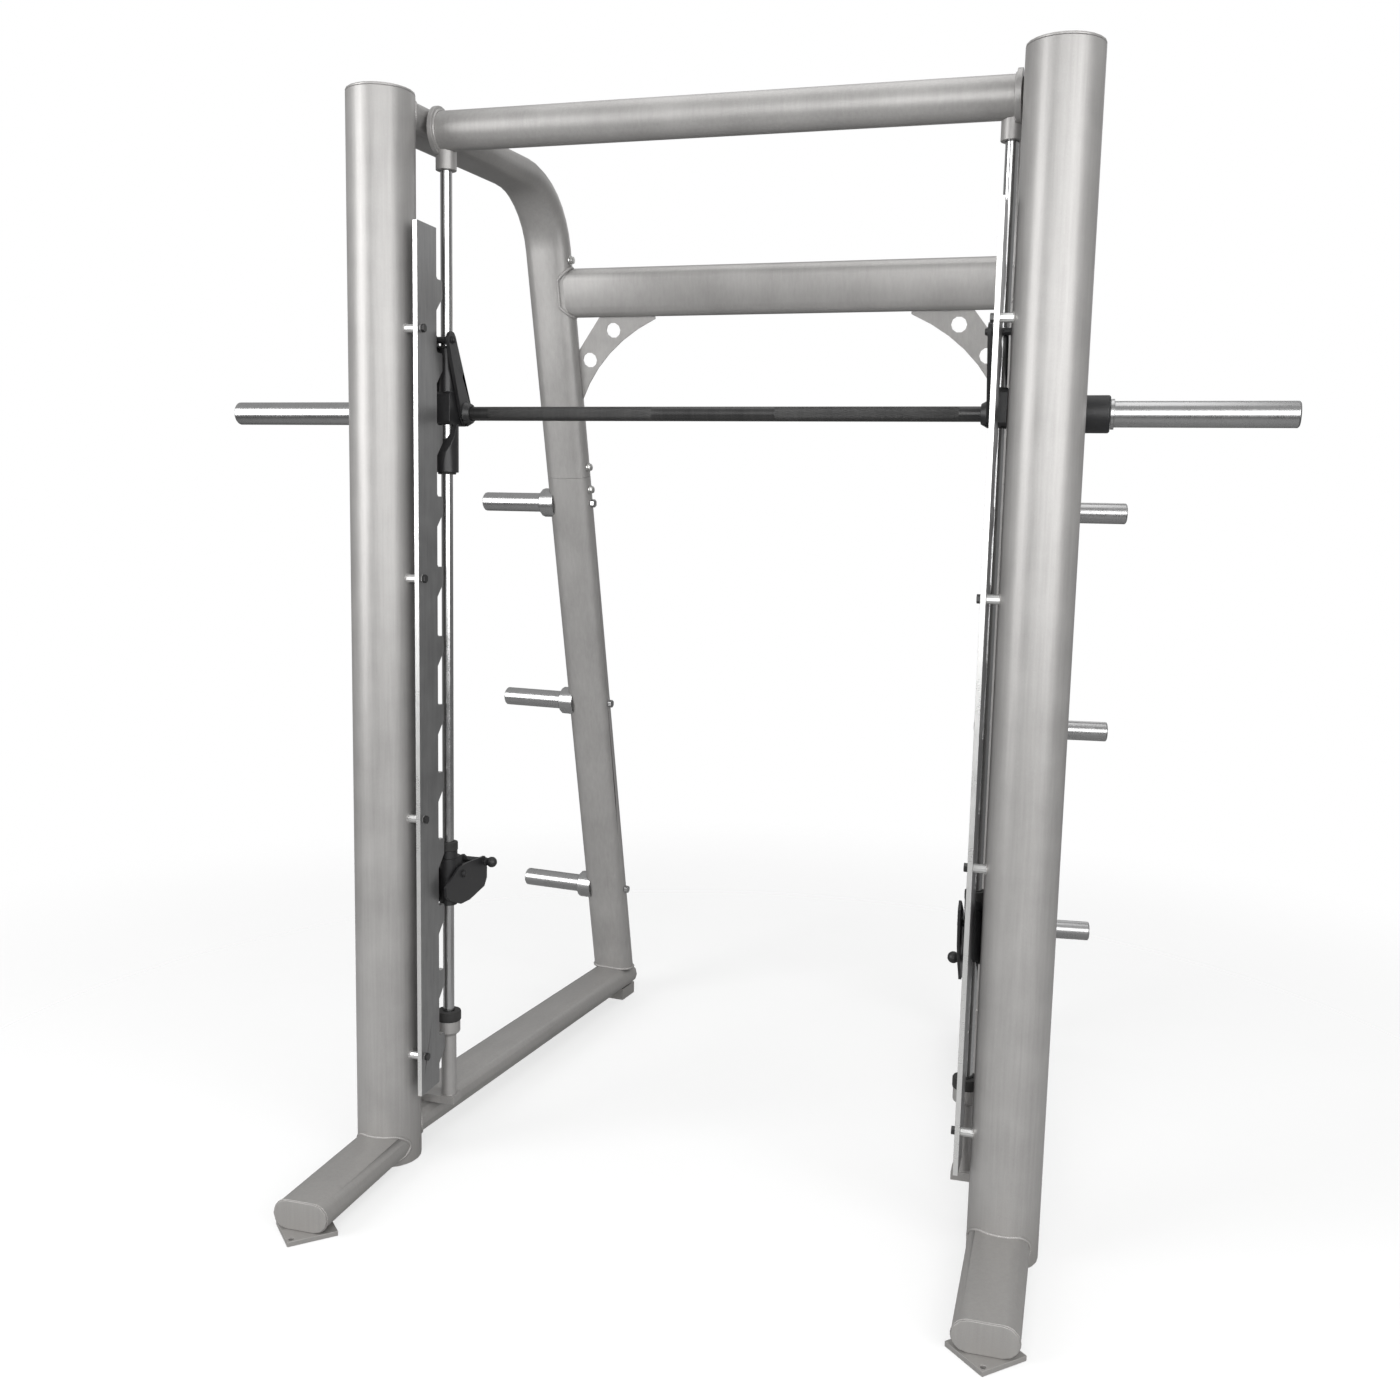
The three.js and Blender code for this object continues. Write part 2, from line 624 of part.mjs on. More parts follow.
// ---- Carriages ----
// Flat-sided housing between the yoke's arms: it runs on the guide rod and carries the bar.
function carriageBody() {
  const y0 = ROD_Y - BAR_Y - 21;
  const outline = [
    [y0, -CARRIAGE_DOWN + 6], [y0 + 6, -CARRIAGE_DOWN], [12, -CARRIAGE_DOWN], [24, -CARRIAGE_DOWN + 14],
    [24, 14], [12, 26], [-22, CARRIAGE_UP - 6], [-28, CARRIAGE_UP], [y0 + 6, CARRIAGE_UP], [y0, CARRIAGE_UP - 6],
  ].map(([y, z]) => new THREE.Vector2(y, z));
  const half = CARRIAGE_HALF_WIDTH;
  const bore = circlePoints(BAR_OD / 2 + 2 * GAP, SHAFT_SIDES).reverse();
  return aroundBar(sidePlate(outline, ROD_X - half, ROD_X + half, [bore]));
}

function rodBore() {
  return upPipe(ROD_X, ROD_Y, 1000, 2000, ROD_OD / 2 + 0.4, 0, SHAFT_SIDES);
}

function buildShortCarriage() {
  return cut(carriageBody(), rodBore());
}

// The long carriage adds a guide neck above and a deep guide sleeve below, cut away at its upper front.
function buildLongCarriage() {
  const bottom = BAR_Z + LONG_SLEEVE_BOTTOM;
  const sleeve = upPipe(ROD_X, ROD_Y, bottom, BAR_Z - CARRIAGE_DOWN + 2, LONG_SLEEVE_OD / 2, 0, SHAFT_SIDES);
  const neck = upPipe(ROD_X, ROD_Y, BAR_Z + CARRIAGE_UP - 2, BAR_Z + NECK_TOP, NECK_OD / 2, 0, SHAFT_SIDES);
  const wedge = sidePlate([[-60, -CARRIAGE_DOWN + 3], [-60, LONG_SLEEVE_BOTTOM + 36], [-34, -CARRIAGE_DOWN + 3]]
    .map(([y, z]) => new THREE.Vector2(y + ROD_Y - BAR_Y + 34, z)), ROD_X - 60, ROD_X + 60);
  return cut(join(cut(sleeve, aroundBar(wedge)), carriageBody(), neck), rodBore());
}

// ---- Safety stops ----
function buildStop() {
  const body = upPipe(ROD_X, ROD_Y, STOP_BOTTOM, STOP_TOP, STOP_OD / 2, 0, SHAFT_SIDES);
  const cheek = block(ROD_X - 19, ROD_X + 19, ROD_Y - 4, ROD_Y + 30, STOP_BOTTOM + 20, STOP_TOP);
  const washer = upPipe(ROD_X, ROD_Y, STOP_TOP - 1, STOP_WASHER_TOP, STOP_BUMPER_OD / 2 - 1, 0, SHAFT_SIDES);
  const stud = sidePipe(ROD_X - LEVER_INNER - LEVER_THICK - 4, ROD_X + LEVER_INNER + LEVER_THICK + 4,
    LEVER_PIVOT_Y, LEVER_PIVOT_Z, LEVER_STUD_R, 0, SHAFT_SIDES);
  const bore = upPipe(ROD_X, ROD_Y, STOP_BOTTOM - 1, STOP_WASHER_TOP + 1, ROD_OD / 2 + 0.5, 0, SHAFT_SIDES);
  return cut(join(body, cheek, washer, stud), bore);
}

function buildStopBumper() {
  return upPipe(ROD_X, ROD_Y, STOP_WASHER_TOP + GAP, STOP_BUMPER_TOP, STOP_BUMPER_OD / 2, ROD_OD / 2 + 0.5, SHAFT_SIDES);
}

// Lever outline around its pivot: a nose beside the lock plate and a broad paddle behind the rod.
const LEVER_OUTLINE = [
  [-86, -12], [-84, -34], [-66, -46], [-10, -68], [34, -70], [112, -58], [126, -40], [126, 4],
  [114, 14], [20, 20], [-20, 18],
];

function buildLever(angle) {
  const outline = LEVER_OUTLINE.map(([u, w]) => new THREE.Vector2(u, w));
  const eye = circlePoints(LEVER_STUD_R + 2 * GAP, SHAFT_SIDES).reverse();
  const inner = [ROD_X - LEVER_INNER - LEVER_THICK, ROD_X - LEVER_INNER];
  const outer = [ROD_X + LEVER_INNER, ROD_X + LEVER_INNER + LEVER_THICK];
  const sides = [inner, outer].map(([x0, x1]) => sidePlate(outline, x0, x1, [eye]));
  const handle = sidePipe(inner[0] - 14, outer[1] + 14, LEVER_REACH - 6, 0, LEVER_HANDLE_R);
  return join(sides[0], sides[1], handle).rotateX(angle).translate(0, LEVER_PIVOT_Y, LEVER_PIVOT_Z);
}

// ---- Storage horns ----
// Horn, collar and the bolt that clamps it through the post.
function buildHorn(z) {
  const y = alongFrame(postY(z));
  const face = OVAL_WIDTH / 2 + GAP;
  const far = -face;
  const profile = [
    [0, face], [HORN_COLLAR_OD / 2, face], [HORN_COLLAR_OD / 2, face + HORN_COLLAR_LENGTH - 3],
    [HORN_COLLAR_OD / 2 - 3, face + HORN_COLLAR_LENGTH], [HORN_OD / 2, face + HORN_COLLAR_LENGTH],
    [HORN_OD / 2, face + HORN_LENGTH - 2], [HORN_OD / 2 - 2, face + HORN_LENGTH], [0, face + HORN_LENGTH],
  ].map(([r, x]) => new THREE.Vector2(r, x));
  const horn = new THREE.LatheGeometry(profile, SHAFT_SIDES).rotateZ(-Math.PI / 2).translate(0, y, z);
  const shank = sidePipe(far - 1, face + 1, y, z, POST_BOLT_R);
  const head = sidePipe(far - 10, far, y, z, 11, 0, 6);
  return intoSideFrame(join(horn, shank, head));
}

// ---- Assembly ----
const machine = new THREE.Group();

function addPiece(parent, name, geometry, finish) {
  const piece = new THREE.Mesh(geometry, new THREE.MeshStandardMaterial(FINISHES[finish]));
  piece.name = name;
  parent.add(piece);
}

function addPair(parent, name, geometry, finish) {
  addPiece(parent, `${name}_right`, geometry, finish);
  addPiece(parent, `${name}_left`, mirrored(geometry), finish);
}

const frame = new THREE.Group();
addPair(frame, 'upright', buildUpright(), 'silver');
addPair(frame, 'upright_cap', buildUprightCap(), 'silver');
addPair(frame, 'leg', buildLeg(), 'silver');
addPair(frame, 'leg_cap', buildLegCap(), 'silver');
addPair(frame, 'front_foot', buildFrontFoot(), 'silver');
addPair(frame, 'base_tube', buildBaseTube(), 'silver');
addPair(frame, 'rear_foot', buildRearFoot(), 'silver');
addPair(frame, 'lower_post', buildLowerPost(), 'silver');
addPair(frame, 'upper_post', buildUpperPost(), 'silver');
addPiece(frame, 'top_crossbar', buildTopBar(), 'silver');
addPiece(frame, 'rear_crossbar', buildRearBar(), 'silver');
addPair(frame, 'gusset', buildGusset(), 'silver');
addPair(frame, 'guide_rod', buildRod(), 'steel');
addPair(frame, 'rod_top_socket', buildTopSocket(), 'silver');
addPair(frame, 'rod_foot_socket', buildFootSocket(), 'silver');
addPair(frame, 'rod_bumper', buildRodBumper(), 'rubber');
addPair(frame, 'lock_plate', buildLockPlate(), 'plate');
HORN_Z.forEach((z, i) => addPair(frame, `horn_${i + 1}`, buildHorn(z), 'steel'));
machine.add(frame);

const bar = new THREE.Group();
addPiece(bar, 'bar', buildBar(), 'black');
addPair(bar, 'sleeve', buildSleeve(), 'steel');
addPair(bar, 'collar', buildCollar(), 'black');
addPair(bar, 'yoke', buildYoke(), 'black');
machine.add(bar);

const carriages = new THREE.Group();
addPiece(carriages, 'carriage_right', buildShortCarriage(), 'black');
addPiece(carriages, 'carriage_left', mirrored(buildLongCarriage()), 'black');
machine.add(carriages);

const stops = new THREE.Group();
addPair(stops, 'stop', buildStop(), 'black');
addPair(stops, 'stop_bumper', buildStopBumper(), 'rubber');
addPiece(stops, 'stop_lever_right', buildLever(LEVER_DOWN_ANGLE), 'black');
addPiece(stops, 'stop_lever_left', mirrored(buildLever(0)), 'black');
machine.add(stops);

machine.position.y = OVERALL_Y_SHIFT;
machine.updateMatrixWorld(true);

export default machine;
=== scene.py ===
"""Smith machine in its finishes: painted tube frame, bright guides and sleeves, black moving parts.

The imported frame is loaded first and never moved. Welds, bolts, knobs and end details are surfaces
worked out with numpy round the frame's own boxes. Lengths are metres, +Z is up, -Y is the front.
"""

from __future__ import annotations

import logging
import math
from collections.abc import Sequence
from dataclasses import dataclass, field
from enum import Enum

import bmesh
import bpy
import numpy as np
from mathutils import Matrix, Vector


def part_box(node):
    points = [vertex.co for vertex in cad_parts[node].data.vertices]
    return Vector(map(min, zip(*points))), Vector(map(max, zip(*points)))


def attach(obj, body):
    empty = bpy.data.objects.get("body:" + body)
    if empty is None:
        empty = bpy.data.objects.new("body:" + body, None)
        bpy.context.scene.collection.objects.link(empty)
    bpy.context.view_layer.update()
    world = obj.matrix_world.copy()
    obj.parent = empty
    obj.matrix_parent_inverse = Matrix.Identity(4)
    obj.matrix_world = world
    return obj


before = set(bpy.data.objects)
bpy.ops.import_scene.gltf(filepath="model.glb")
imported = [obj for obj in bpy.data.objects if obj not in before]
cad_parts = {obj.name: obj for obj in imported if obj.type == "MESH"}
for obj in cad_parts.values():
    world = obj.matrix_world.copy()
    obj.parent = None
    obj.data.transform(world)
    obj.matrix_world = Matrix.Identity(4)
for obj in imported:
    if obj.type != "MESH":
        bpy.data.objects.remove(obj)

log = logging.getLogger("smith_machine")
Point = tuple[float, float, float]
Colour = tuple[float, float, float]
Section = list[tuple[float, float]]
TAU = 2 * math.pi
CRISP = math.radians(32)  # edges of the frame's nodes sharper than this stay crisp
WELD_SMOOTH = 60.0  # degrees under which a weld's own edges are smoothed


class Side(Enum):
    """The two sides of the machine, as the sign of X."""

    RIGHT = 1
    LEFT = -1

    @property
    def tag(self) -> str:
        """The ending of the side's node names."""
        return self.name.lower()


class Lay(Enum):
    """The direction along which a turned or drawn surface changes, as a scale for X, Y and Z."""

    ALONG_X = (1.0, 0.02, 0.02)
    ALONG_Z = (0.02, 0.02, 1.0)


# ---- shader maths ----


class Wire:
    """A socket that takes part in Python arithmetic by adding Math nodes to its graph."""

    def __init__(self, graph: Graph, socket: bpy.types.NodeSocket) -> None:
        """Wraps one output socket of a graph.

        Args:
            graph: the graph that owns the socket.
            socket: the output socket.
        """
        self.graph = graph
        self.socket = socket

    def _with(self, operation: str, other: Value, swapped: bool = False) -> Wire:
        """Adds one Math node on this value and another.

        Args:
            operation: the Math node's operation.
            other: a number or another wire.
            swapped: whether the other value comes first.

        Returns:
            The node's result.
        """
        first, second = (other, self) if swapped else (self, other)
        node = self.graph.node("ShaderNodeMath", {"operation": operation}, {0: first, 1: second})
        return Wire(self.graph, node.outputs[0])

    def __add__(self, other: Value) -> Wire:
        """Sum."""
        return self._with("ADD", other)

    def __radd__(self, other: Value) -> Wire:
        """Sum, reflected."""
        return self._with("ADD", other, True)

    def __sub__(self, other: Value) -> Wire:
        """Difference."""
        return self._with("SUBTRACT", other)

    def __rsub__(self, other: Value) -> Wire:
        """Difference, reflected."""
        return self._with("SUBTRACT", other, True)

    def __mul__(self, other: Value) -> Wire:
        """Product."""
        return self._with("MULTIPLY", other)

    def __rmul__(self, other: Value) -> Wire:
        """Product, reflected."""
        return self._with("MULTIPLY", other, True)

    def __abs__(self) -> Wire:
        """Size without sign."""
        return self._with("ABSOLUTE", 0.0)

    def wave(self) -> Wire:
        """The sine of the value."""
        return self._with("SINE", 0.0)

    def turn_from(self, level: Wire) -> Wire:
        """The angle whose rise is this value and whose level run is another."""
        return self._with("ARCTAN2", level)

    def eased(self, low: float, high: float) -> Wire:
        """The value eased from 0 at one level to 1 at another.

        Args:
            low: the level that gives 0.
            high: the level that gives 1.

        Returns:
            The eased value.
        """
        node = self.graph.node(
            "ShaderNodeMapRange",
            {"interpolation_type": "SMOOTHSTEP"},
            {"Value": self, "From Min": low, "From Max": high},
        )
        return Wire(self.graph, node.outputs[0])


Value = float | Wire


class Graph:
    """The node tree of one material, with short ways to add the nodes that the finishes share."""

    def __init__(self, name: str) -> None:
        """Makes an empty material.

        Args:
            name: the material's name.
        """
        self.material = bpy.data.materials.new(name)
        self.material.use_nodes = True
        self.tree = self.material.node_tree
        self.tree.nodes.clear()

    def node(self, kind: str, settings: dict | None = None, inputs: dict | None = None) -> bpy.types.Node:
        """Adds one node: its settings are set first, then its sockets.

        Args:
            kind: the node's type name.
            settings: attributes of the node.
            inputs: socket name or number, with a value, a wire or a socket.

        Returns:
            The new node.
        """
        made = self.tree.nodes.new(kind)
        for key, value in (settings or {}).items():
            setattr(made, key, value)
        for key, value in (inputs or {}).items():
            if isinstance(value, Wire):
                value = value.socket
            if isinstance(value, bpy.types.NodeSocket):
                self.tree.links.new(value, made.inputs[key])
            else:
                made.inputs[key].default_value = value
        return made

    def place(self, scale: Sequence[float] = (1, 1, 1)) -> bpy.types.NodeSocket:
        """Object coordinates, stretched by a scale for each axis."""
        inputs = {0: self.node("ShaderNodeTexCoord").outputs["Object"], 1: tuple(scale)}
        return self.node("ShaderNodeVectorMath", {"operation": "MULTIPLY"}, inputs).outputs[0]

    def axes(self, socket: bpy.types.NodeSocket) -> tuple[Wire, Wire, Wire]:
        """The X, Y and Z of a vector as three wires."""
        split = self.node("ShaderNodeSeparateXYZ", None, {0: socket})
        return tuple(Wire(self, out) for out in split.outputs)

    def noise(
        self, size: float, detail: float = 3.0, rough: float = 0.5, stretch: Sequence[float] = (1, 1, 1)
    ) -> Wire:
        """Noise centred on zero, about -0.5 to 0.5.

        Args:
            size: the width of its larger spots, in metres.
            detail: how many finer layers it has.
            rough: how strong the finer layers are.
            stretch: a scale for each axis, small where the spots are long.

        Returns:
            The noise value.
        """
        made = self.node(
            "ShaderNodeTexNoise",
            {"noise_dimensions": "3D"},
            {"Vector": self.place(stretch), "Scale": 1 / size, "Detail": detail, "Roughness": rough},
        )
        return Wire(self, made.outputs["Fac"]) - 0.5

    def blend(self, share: Value, low: Colour, high: Colour) -> bpy.types.NodeSocket:
        """A colour between two, by a share from 0 to 1.

        Args:
            share: 0 gives the first colour and 1 the second.
            low: the first colour, or a colour socket.
            high: the second colour.

        Returns:
            The mixed colour's socket.
        """
        first = low if isinstance(low, bpy.types.NodeSocket) else (*low, 1.0)
        made = self.node(
            "ShaderNodeMix",
            {"data_type": "RGBA", "clamp_factor": True},
            {0: share, 6: first, 7: (*high, 1.0)},
        )
        return made.outputs[2]

    def bump(self, height: Wire, depth: float) -> bpy.types.NodeSocket:
        """A normal bent by a height.

        Args:
            height: the height in units of the depth.
            depth: the depth in metres.

        Returns:
            The normal's socket.
        """
        inputs = {"Strength": 1.0, "Distance": depth, "Height": height}
        return self.node("ShaderNodeBump", None, inputs).outputs[0]

    def surface(self, varying: dict, fixed: dict) -> bpy.types.Material:
        """Ends the graph with one Principled surface.

        Args:
            varying: links for Base Color, Roughness, Alpha or Normal.
            fixed: plain numbers and colours for the shader's own sockets.

        Returns:
            The finished material.
        """
        shader = self.node("ShaderNodeBsdfPrincipled", None, {**fixed, **varying})
        self.node("ShaderNodeOutputMaterial", None, {"Surface": shader.outputs[0]})
        return self.material


# ---- finishes ----


@dataclass(frozen=True)
class SilverCoat:
    """Silver powder coat: fine metallic grain, slight clouding, drawn marks and a darker, browner tone in
    patches towards the floor.
    """

    name: str = "silver_powder_coat"
    shade: Colour = (0.275, 0.268, 0.262)
    light: Colour = (0.450, 0.441, 0.432)
    near_floor: Colour = (0.255, 0.243, 0.228)
    near_floor_height: float = 0.16
    metallic: float = 0.42
    roughness: float = 0.43
    peel: float = 0.00006

    def material(self) -> bpy.types.Material:
        """Builds the coat's nodes.

        Returns:
            The material.
        """
        g = Graph(self.name)
        cloud = g.noise(0.11, 4.0, 0.55)
        drawn = g.noise(0.006, 3.0, 0.6, (1.0, 1.0, 0.035))
        flake = g.noise(0.0011, 2.0, 0.7)
        peel = g.noise(0.0024, 2.0, 0.5)
        tone = 0.5 + cloud * 0.75 + drawn * 0.55 + flake * 0.9
        coat = g.blend(tone, self.shade, self.light)
        height = g.axes(g.place())[2]
        # the coat turns darker, browner and rougher, in patches, over the lowest stretch above the floor
        low = (1.0 - height.eased(0.0, self.near_floor_height)) * (0.45 + cloud * 0.9)
        colour = g.blend(low, coat, self.near_floor)
        roughness = self.roughness + cloud * 0.12 + flake * 0.14 + low * 0.2
        normal = g.bump(peel + flake * 0.35, self.peel)
        return g.surface(
            {"Base Color": colour, "Roughness": roughness, "Normal": normal},
            {"Metallic": self.metallic, "Coat Weight": 0.12, "Coat Roughness": 0.3},
        )


@dataclass(frozen=True)
class BrightSteel:
    """Ground and chromed steel with fine turning lines and faint handling marks."""

    name: str
    lay: Lay
    shade: Colour = (0.36, 0.36, 0.365)
    light: Colour = (0.66, 0.66, 0.66)
    roughness: float = 0.20

    def material(self) -> bpy.types.Material:
        """Builds the steel's nodes.

        Returns:
            The material.
        """
        g = Graph(self.name)
        lines = g.noise(0.0012, 3.0, 0.65, self.lay.value)
        bands = g.noise(0.02, 2.0, 0.5, self.lay.value)
        marks = g.noise(0.03, 5.0, 0.6)
        tone = 0.6 + lines * 0.3 + marks * 0.3
        colour = g.blend(tone, self.shade, self.light)
        roughness = self.roughness + lines * 0.05 + marks * 0.12 + bands * 0.05
        return g.surface(
            {
                "Base Color": colour,
                "Roughness": roughness,
                "Normal": g.bump(lines * 0.3 + bands * 0.5, 0.00002),
            },
            {"Metallic": 1.0},
        )


@dataclass(frozen=True)
class CutPlate:
    """Cut steel plate: grey rolled faces with bright sawn edges and dark bolt heads on its inner face."""

    name: str = "cut_plate_steel"
    face_shade: Colour = (0.20, 0.20, 0.202)
    face_light: Colour = (0.36, 0.36, 0.36)
    head: Colour = (0.07, 0.07, 0.07)
    head_from: float = 0.5740
    edge: Colour = (0.72, 0.72, 0.71)

    def material(self) -> bpy.types.Material:
        """Builds the plate's nodes.

        Returns:
            The material.
        """
        g = Graph(self.name)
        facing = abs(g.axes(g.node("ShaderNodeTexCoord").outputs["Normal"])[0])
        cut = 1.0 - facing.eased(0.25, 0.75)
        rolled = g.noise(0.012, 4.0, 0.6, (1.0, 1.0, 0.08))
        cloud = g.noise(0.05, 4.0, 0.6)
        saw = g.noise(0.0016, 2.0, 0.6, (0.05, 1.0, 1.0))
        face = g.blend(0.5 + rolled * 0.9 + cloud * 0.7, self.face_shade, self.face_light)
        heads = 1.0 - abs(g.axes(g.place())[0]).eased(self.head_from, self.head_from + 0.0006)
        colour = g.blend(heads, g.blend(cut, face, self.edge), self.head)
        roughness = 0.36 + cloud * 0.2 + saw * 0.1 - cut * 0.06
        normal = g.bump(saw * cut + rolled * 0.3, 0.00006)
        return g.surface(
            {"Base Color": colour, "Roughness": roughness, "Normal": normal},
            {"Metallic": 0.75},
        )


@dataclass(frozen=True)
class SatinBlack:
    """Satin black paint over cast or machined steel, rubbed lighter in patches."""

    name: str
    shade: Colour = (0.010, 0.010, 0.011)
    light: Colour = (0.030, 0.030, 0.031)
    rubbed: Colour = (0.11, 0.108, 0.105)
    wear: float = 0.5
    roughness: float = 0.40
    grain: float = 0.0014

    def material(self) -> bpy.types.Material:
        """Builds the paint's nodes.

        Returns:
            The material.
        """
        g = Graph(self.name)
        cloud = g.noise(0.04, 4.0, 0.6)
        grain = g.noise(self.grain, 3.0, 0.6)
        patch = (g.noise(0.018, 6.0, 0.7)).eased(0.12, 0.26) * self.wear
        colour = g.blend(patch, g.blend(0.5 + cloud + grain * 0.6, self.shade, self.light), self.rubbed)
        roughness = self.roughness + cloud * 0.2 + grain * 0.12 - patch * 0.1
        return g.surface(
            {"Base Color": colour, "Roughness": roughness, "Normal": g.bump(grain, 0.00008)},
            {"Metallic": 0.15, "Coat Weight": 0.1, "Coat Roughness": 0.35},
        )


@dataclass(frozen=True)
class GripBar:
    """Blackened bar with two knurled hand zones and plain rings between them."""

    centre: Point
    name: str = "blackened_bar"
    shade: Colour = (0.032, 0.032, 0.033)
    light: Colour = (0.085, 0.084, 0.083)
    pitch: float = 0.0022
    inner: float = 0.13
    outer: float = 0.50
    run_in: float = 0.004
    starts: float = 42.0

    def material(self) -> bpy.types.Material:
        """Builds the nodes: two crossed sine waves of X and the turn round the bar make the diamonds.

        Returns:
            The material.
        """
        g = Graph(self.name)
        x, y, z = g.axes(g.place())
        turn = (z - self.centre[2]).turn_from(y - self.centre[1])
        across = turn * self.starts
        along = x * (TAU / self.pitch)
        diamonds = (along + across).wave() * (along - across).wave()
        reach = abs(x)
        past_inner = reach.eased(self.inner, self.inner + self.run_in)
        past_outer = reach.eased(self.outer, self.outer + self.run_in)
        zone = past_inner * (1.0 - past_outer)
        cloud = g.noise(0.05, 4.0, 0.6, Lay.ALONG_X.value)
        polish = g.noise(0.003, 3.0, 0.6, Lay.ALONG_X.value)
        tone = 0.45 + cloud * 0.8 + polish * 0.5 + zone * 0.22 + diamonds * zone * 0.3
        colour = g.blend(tone, self.shade, self.light)
        return g.surface(
            {
                "Base Color": colour,
                "Roughness": 0.34 + cloud * 0.15 + zone * 0.14,
                "Normal": g.bump(diamonds * zone + polish * 0.1, 0.0002),
            },
            {"Metallic": 0.7},
        )


@dataclass(frozen=True)
class BlackRubber:
    """Moulded rubber with a dull bloom."""

    name: str = "black_rubber"
    shade: Colour = (0.010, 0.010, 0.010)
    light: Colour = (0.035, 0.034, 0.033)

    def material(self) -> bpy.types.Material:
        """Builds the rubber's nodes.

        Returns:
            The material.
        """
        g = Graph(self.name)
        bloom = g.noise(0.015, 4.0, 0.6)
        skin = g.noise(0.0008, 2.0, 0.6)
        return g.surface(
            {
                "Base Color": g.blend(0.45 + bloom * 1.2, self.shade, self.light),
                "Roughness": 0.74 + bloom * 0.25,
                "Normal": g.bump(skin, 0.0001),
            },
            {"Sheen Weight": 0.05},
        )


@dataclass(frozen=True)
class ZincPlate:
    """Zinc-plated fasteners."""

    name: str = "zinc_fastener"
    shade: Colour = (0.42, 0.42, 0.41)
    light: Colour = (0.72, 0.72, 0.70)

    def material(self) -> bpy.types.Material:
        """Builds the zinc's nodes.

        Returns:
            The material.
        """
        g = Graph(self.name)
        spangle = g.noise(0.004, 5.0, 0.65)
        fine = g.noise(0.0007, 2.0, 0.6)
        return g.surface(
            {
                "Base Color": g.blend(0.5 + spangle * 1.1, self.shade, self.light),
                "Roughness": 0.30 + spangle * 0.2 + fine * 0.1,
                "Normal": g.bump(fine, 0.00004),
            },
            {"Metallic": 0.95},
        )


@dataclass(frozen=True)
class StudioPaper:
    """Pale paper floor with the faintest tooth, thinning out to nothing away from the machine."""

    name: str = "studio_paper"
    shade: Colour = (0.93, 0.93, 0.93)
    light: Colour = (0.97, 0.97, 0.97)
    body: float = 0.34
    near: float = 0.9
    far: float = 3.4

    def material(self) -> bpy.types.Material:
        """Builds the paper's nodes.

        Returns:
            The material.
        """
        g = Graph(self.name)
        tooth = g.noise(0.4, 4.0, 0.5)
        x, y, _ = g.axes(g.place())
        away = (x * x + y * y).eased(self.near**2, self.far**2)
        return g.surface(
            {
                "Base Color": g.blend(0.5 + tooth, self.shade, self.light),
                "Roughness": 0.85 + tooth * 0.1,
                "Alpha": (1.0 - away) * self.body,
            },
            {"Specular IOR Level": 0.1},
        )


# ---- surfaces ----


@dataclass
class Shell:
    """Points and faces of one closed surface."""

    points: np.ndarray
    faces: list[tuple[int, ...]]

    def joined(self, *others: Shell) -> Shell:
        """This shell and others as one."""
        shells = [self, *others]
        starts = np.cumsum([0] + [len(s.points) for s in shells[:-1]])
        faces = [tuple(i + int(start) for i in face) for s, start in zip(shells, starts) for face in s.faces]
        return Shell(np.vstack([s.points for s in shells]), faces)


def grid_faces(rows: int, columns: int, wrap: bool) -> np.ndarray:
    """Quads of a grid of points that wraps round its columns, and round its rows if asked.

    Args:
        rows: how many rings there are.
        columns: how many points each ring has.
        wrap: whether the last ring joins the first.

    Returns:
        An array of four point numbers for each quad.
    """
    r, c = np.meshgrid(np.arange(rows if wrap else rows - 1), np.arange(columns), indexing="ij")
    r_next, c_next = (r + 1) % rows, (c + 1) % columns
    corners = [r * columns + c, r * columns + c_next, r_next * columns + c_next, r_next * columns + c]
    return np.stack(corners, -1).reshape(-1, 4)


def turned(
    profile: Section,
    centre: Sequence[float],
    axis: Sequence[float],
    sides: int = 32,
    hexagon: float = 0.0,
    ring: bool = False,
) -> Shell:
    """A profile turned round an axis: point = centre + radius(turn) * outward(turn) + height * axis.

    Where a hexagon is asked for, the radius is the smaller of the profile's and the hexagon's, whose
    flats lie at half_width / cos(turn within its sixth).

    Args:
        profile: radius and height of each step, outer side going up.
        centre: where height 0 lies on the axis.
        axis: direction of the axis.
        sides: points round each ring.
        hexagon: distance from the axis to a flat, or 0 for round.
        ring: whether the profile closes on itself, as a washer's does.

    Returns:
        The closed shell.
    """
    steps = np.asarray(profile, float)
    turn = np.arange(sides) * TAU / sides
    radius = np.repeat(steps[:, :1], sides, axis=1)
    if hexagon:
        sixth = (turn + TAU / 12) % (TAU / 6) - TAU / 12
        radius = np.minimum(radius, hexagon / np.cos(sixth)[None, :])
    along = Vector(axis).normalized()
    first = along.orthogonal().normalized()
    second = along.cross(first)
    a, u, v = (np.array(w) for w in (along, first, second))
    outward = np.cos(turn)[:, None] * u + np.sin(turn)[:, None] * v
    rings = radius[:, :, None] * outward[None] + steps[:, 1][:, None, None] * a
    points = np.array(centre, float) + rings.reshape(-1, 3)
    faces = [tuple(q) for q in grid_faces(len(steps), sides, ring).tolist()]
    if ring:
        return Shell(points, faces)
    ends = np.array(centre, float) + steps[[0, -1], 1][:, None] * a
    low, high, top = len(points), len(points) + 1, (len(steps) - 1) * sides
    following = [(i + 1) % sides for i in range(sides)]
    faces += [(low, n, i) for i, n in enumerate(following)]
    faces += [(high, top + i, top + n) for i, n in enumerate(following)]
    return Shell(np.vstack([points, ends]), faces)


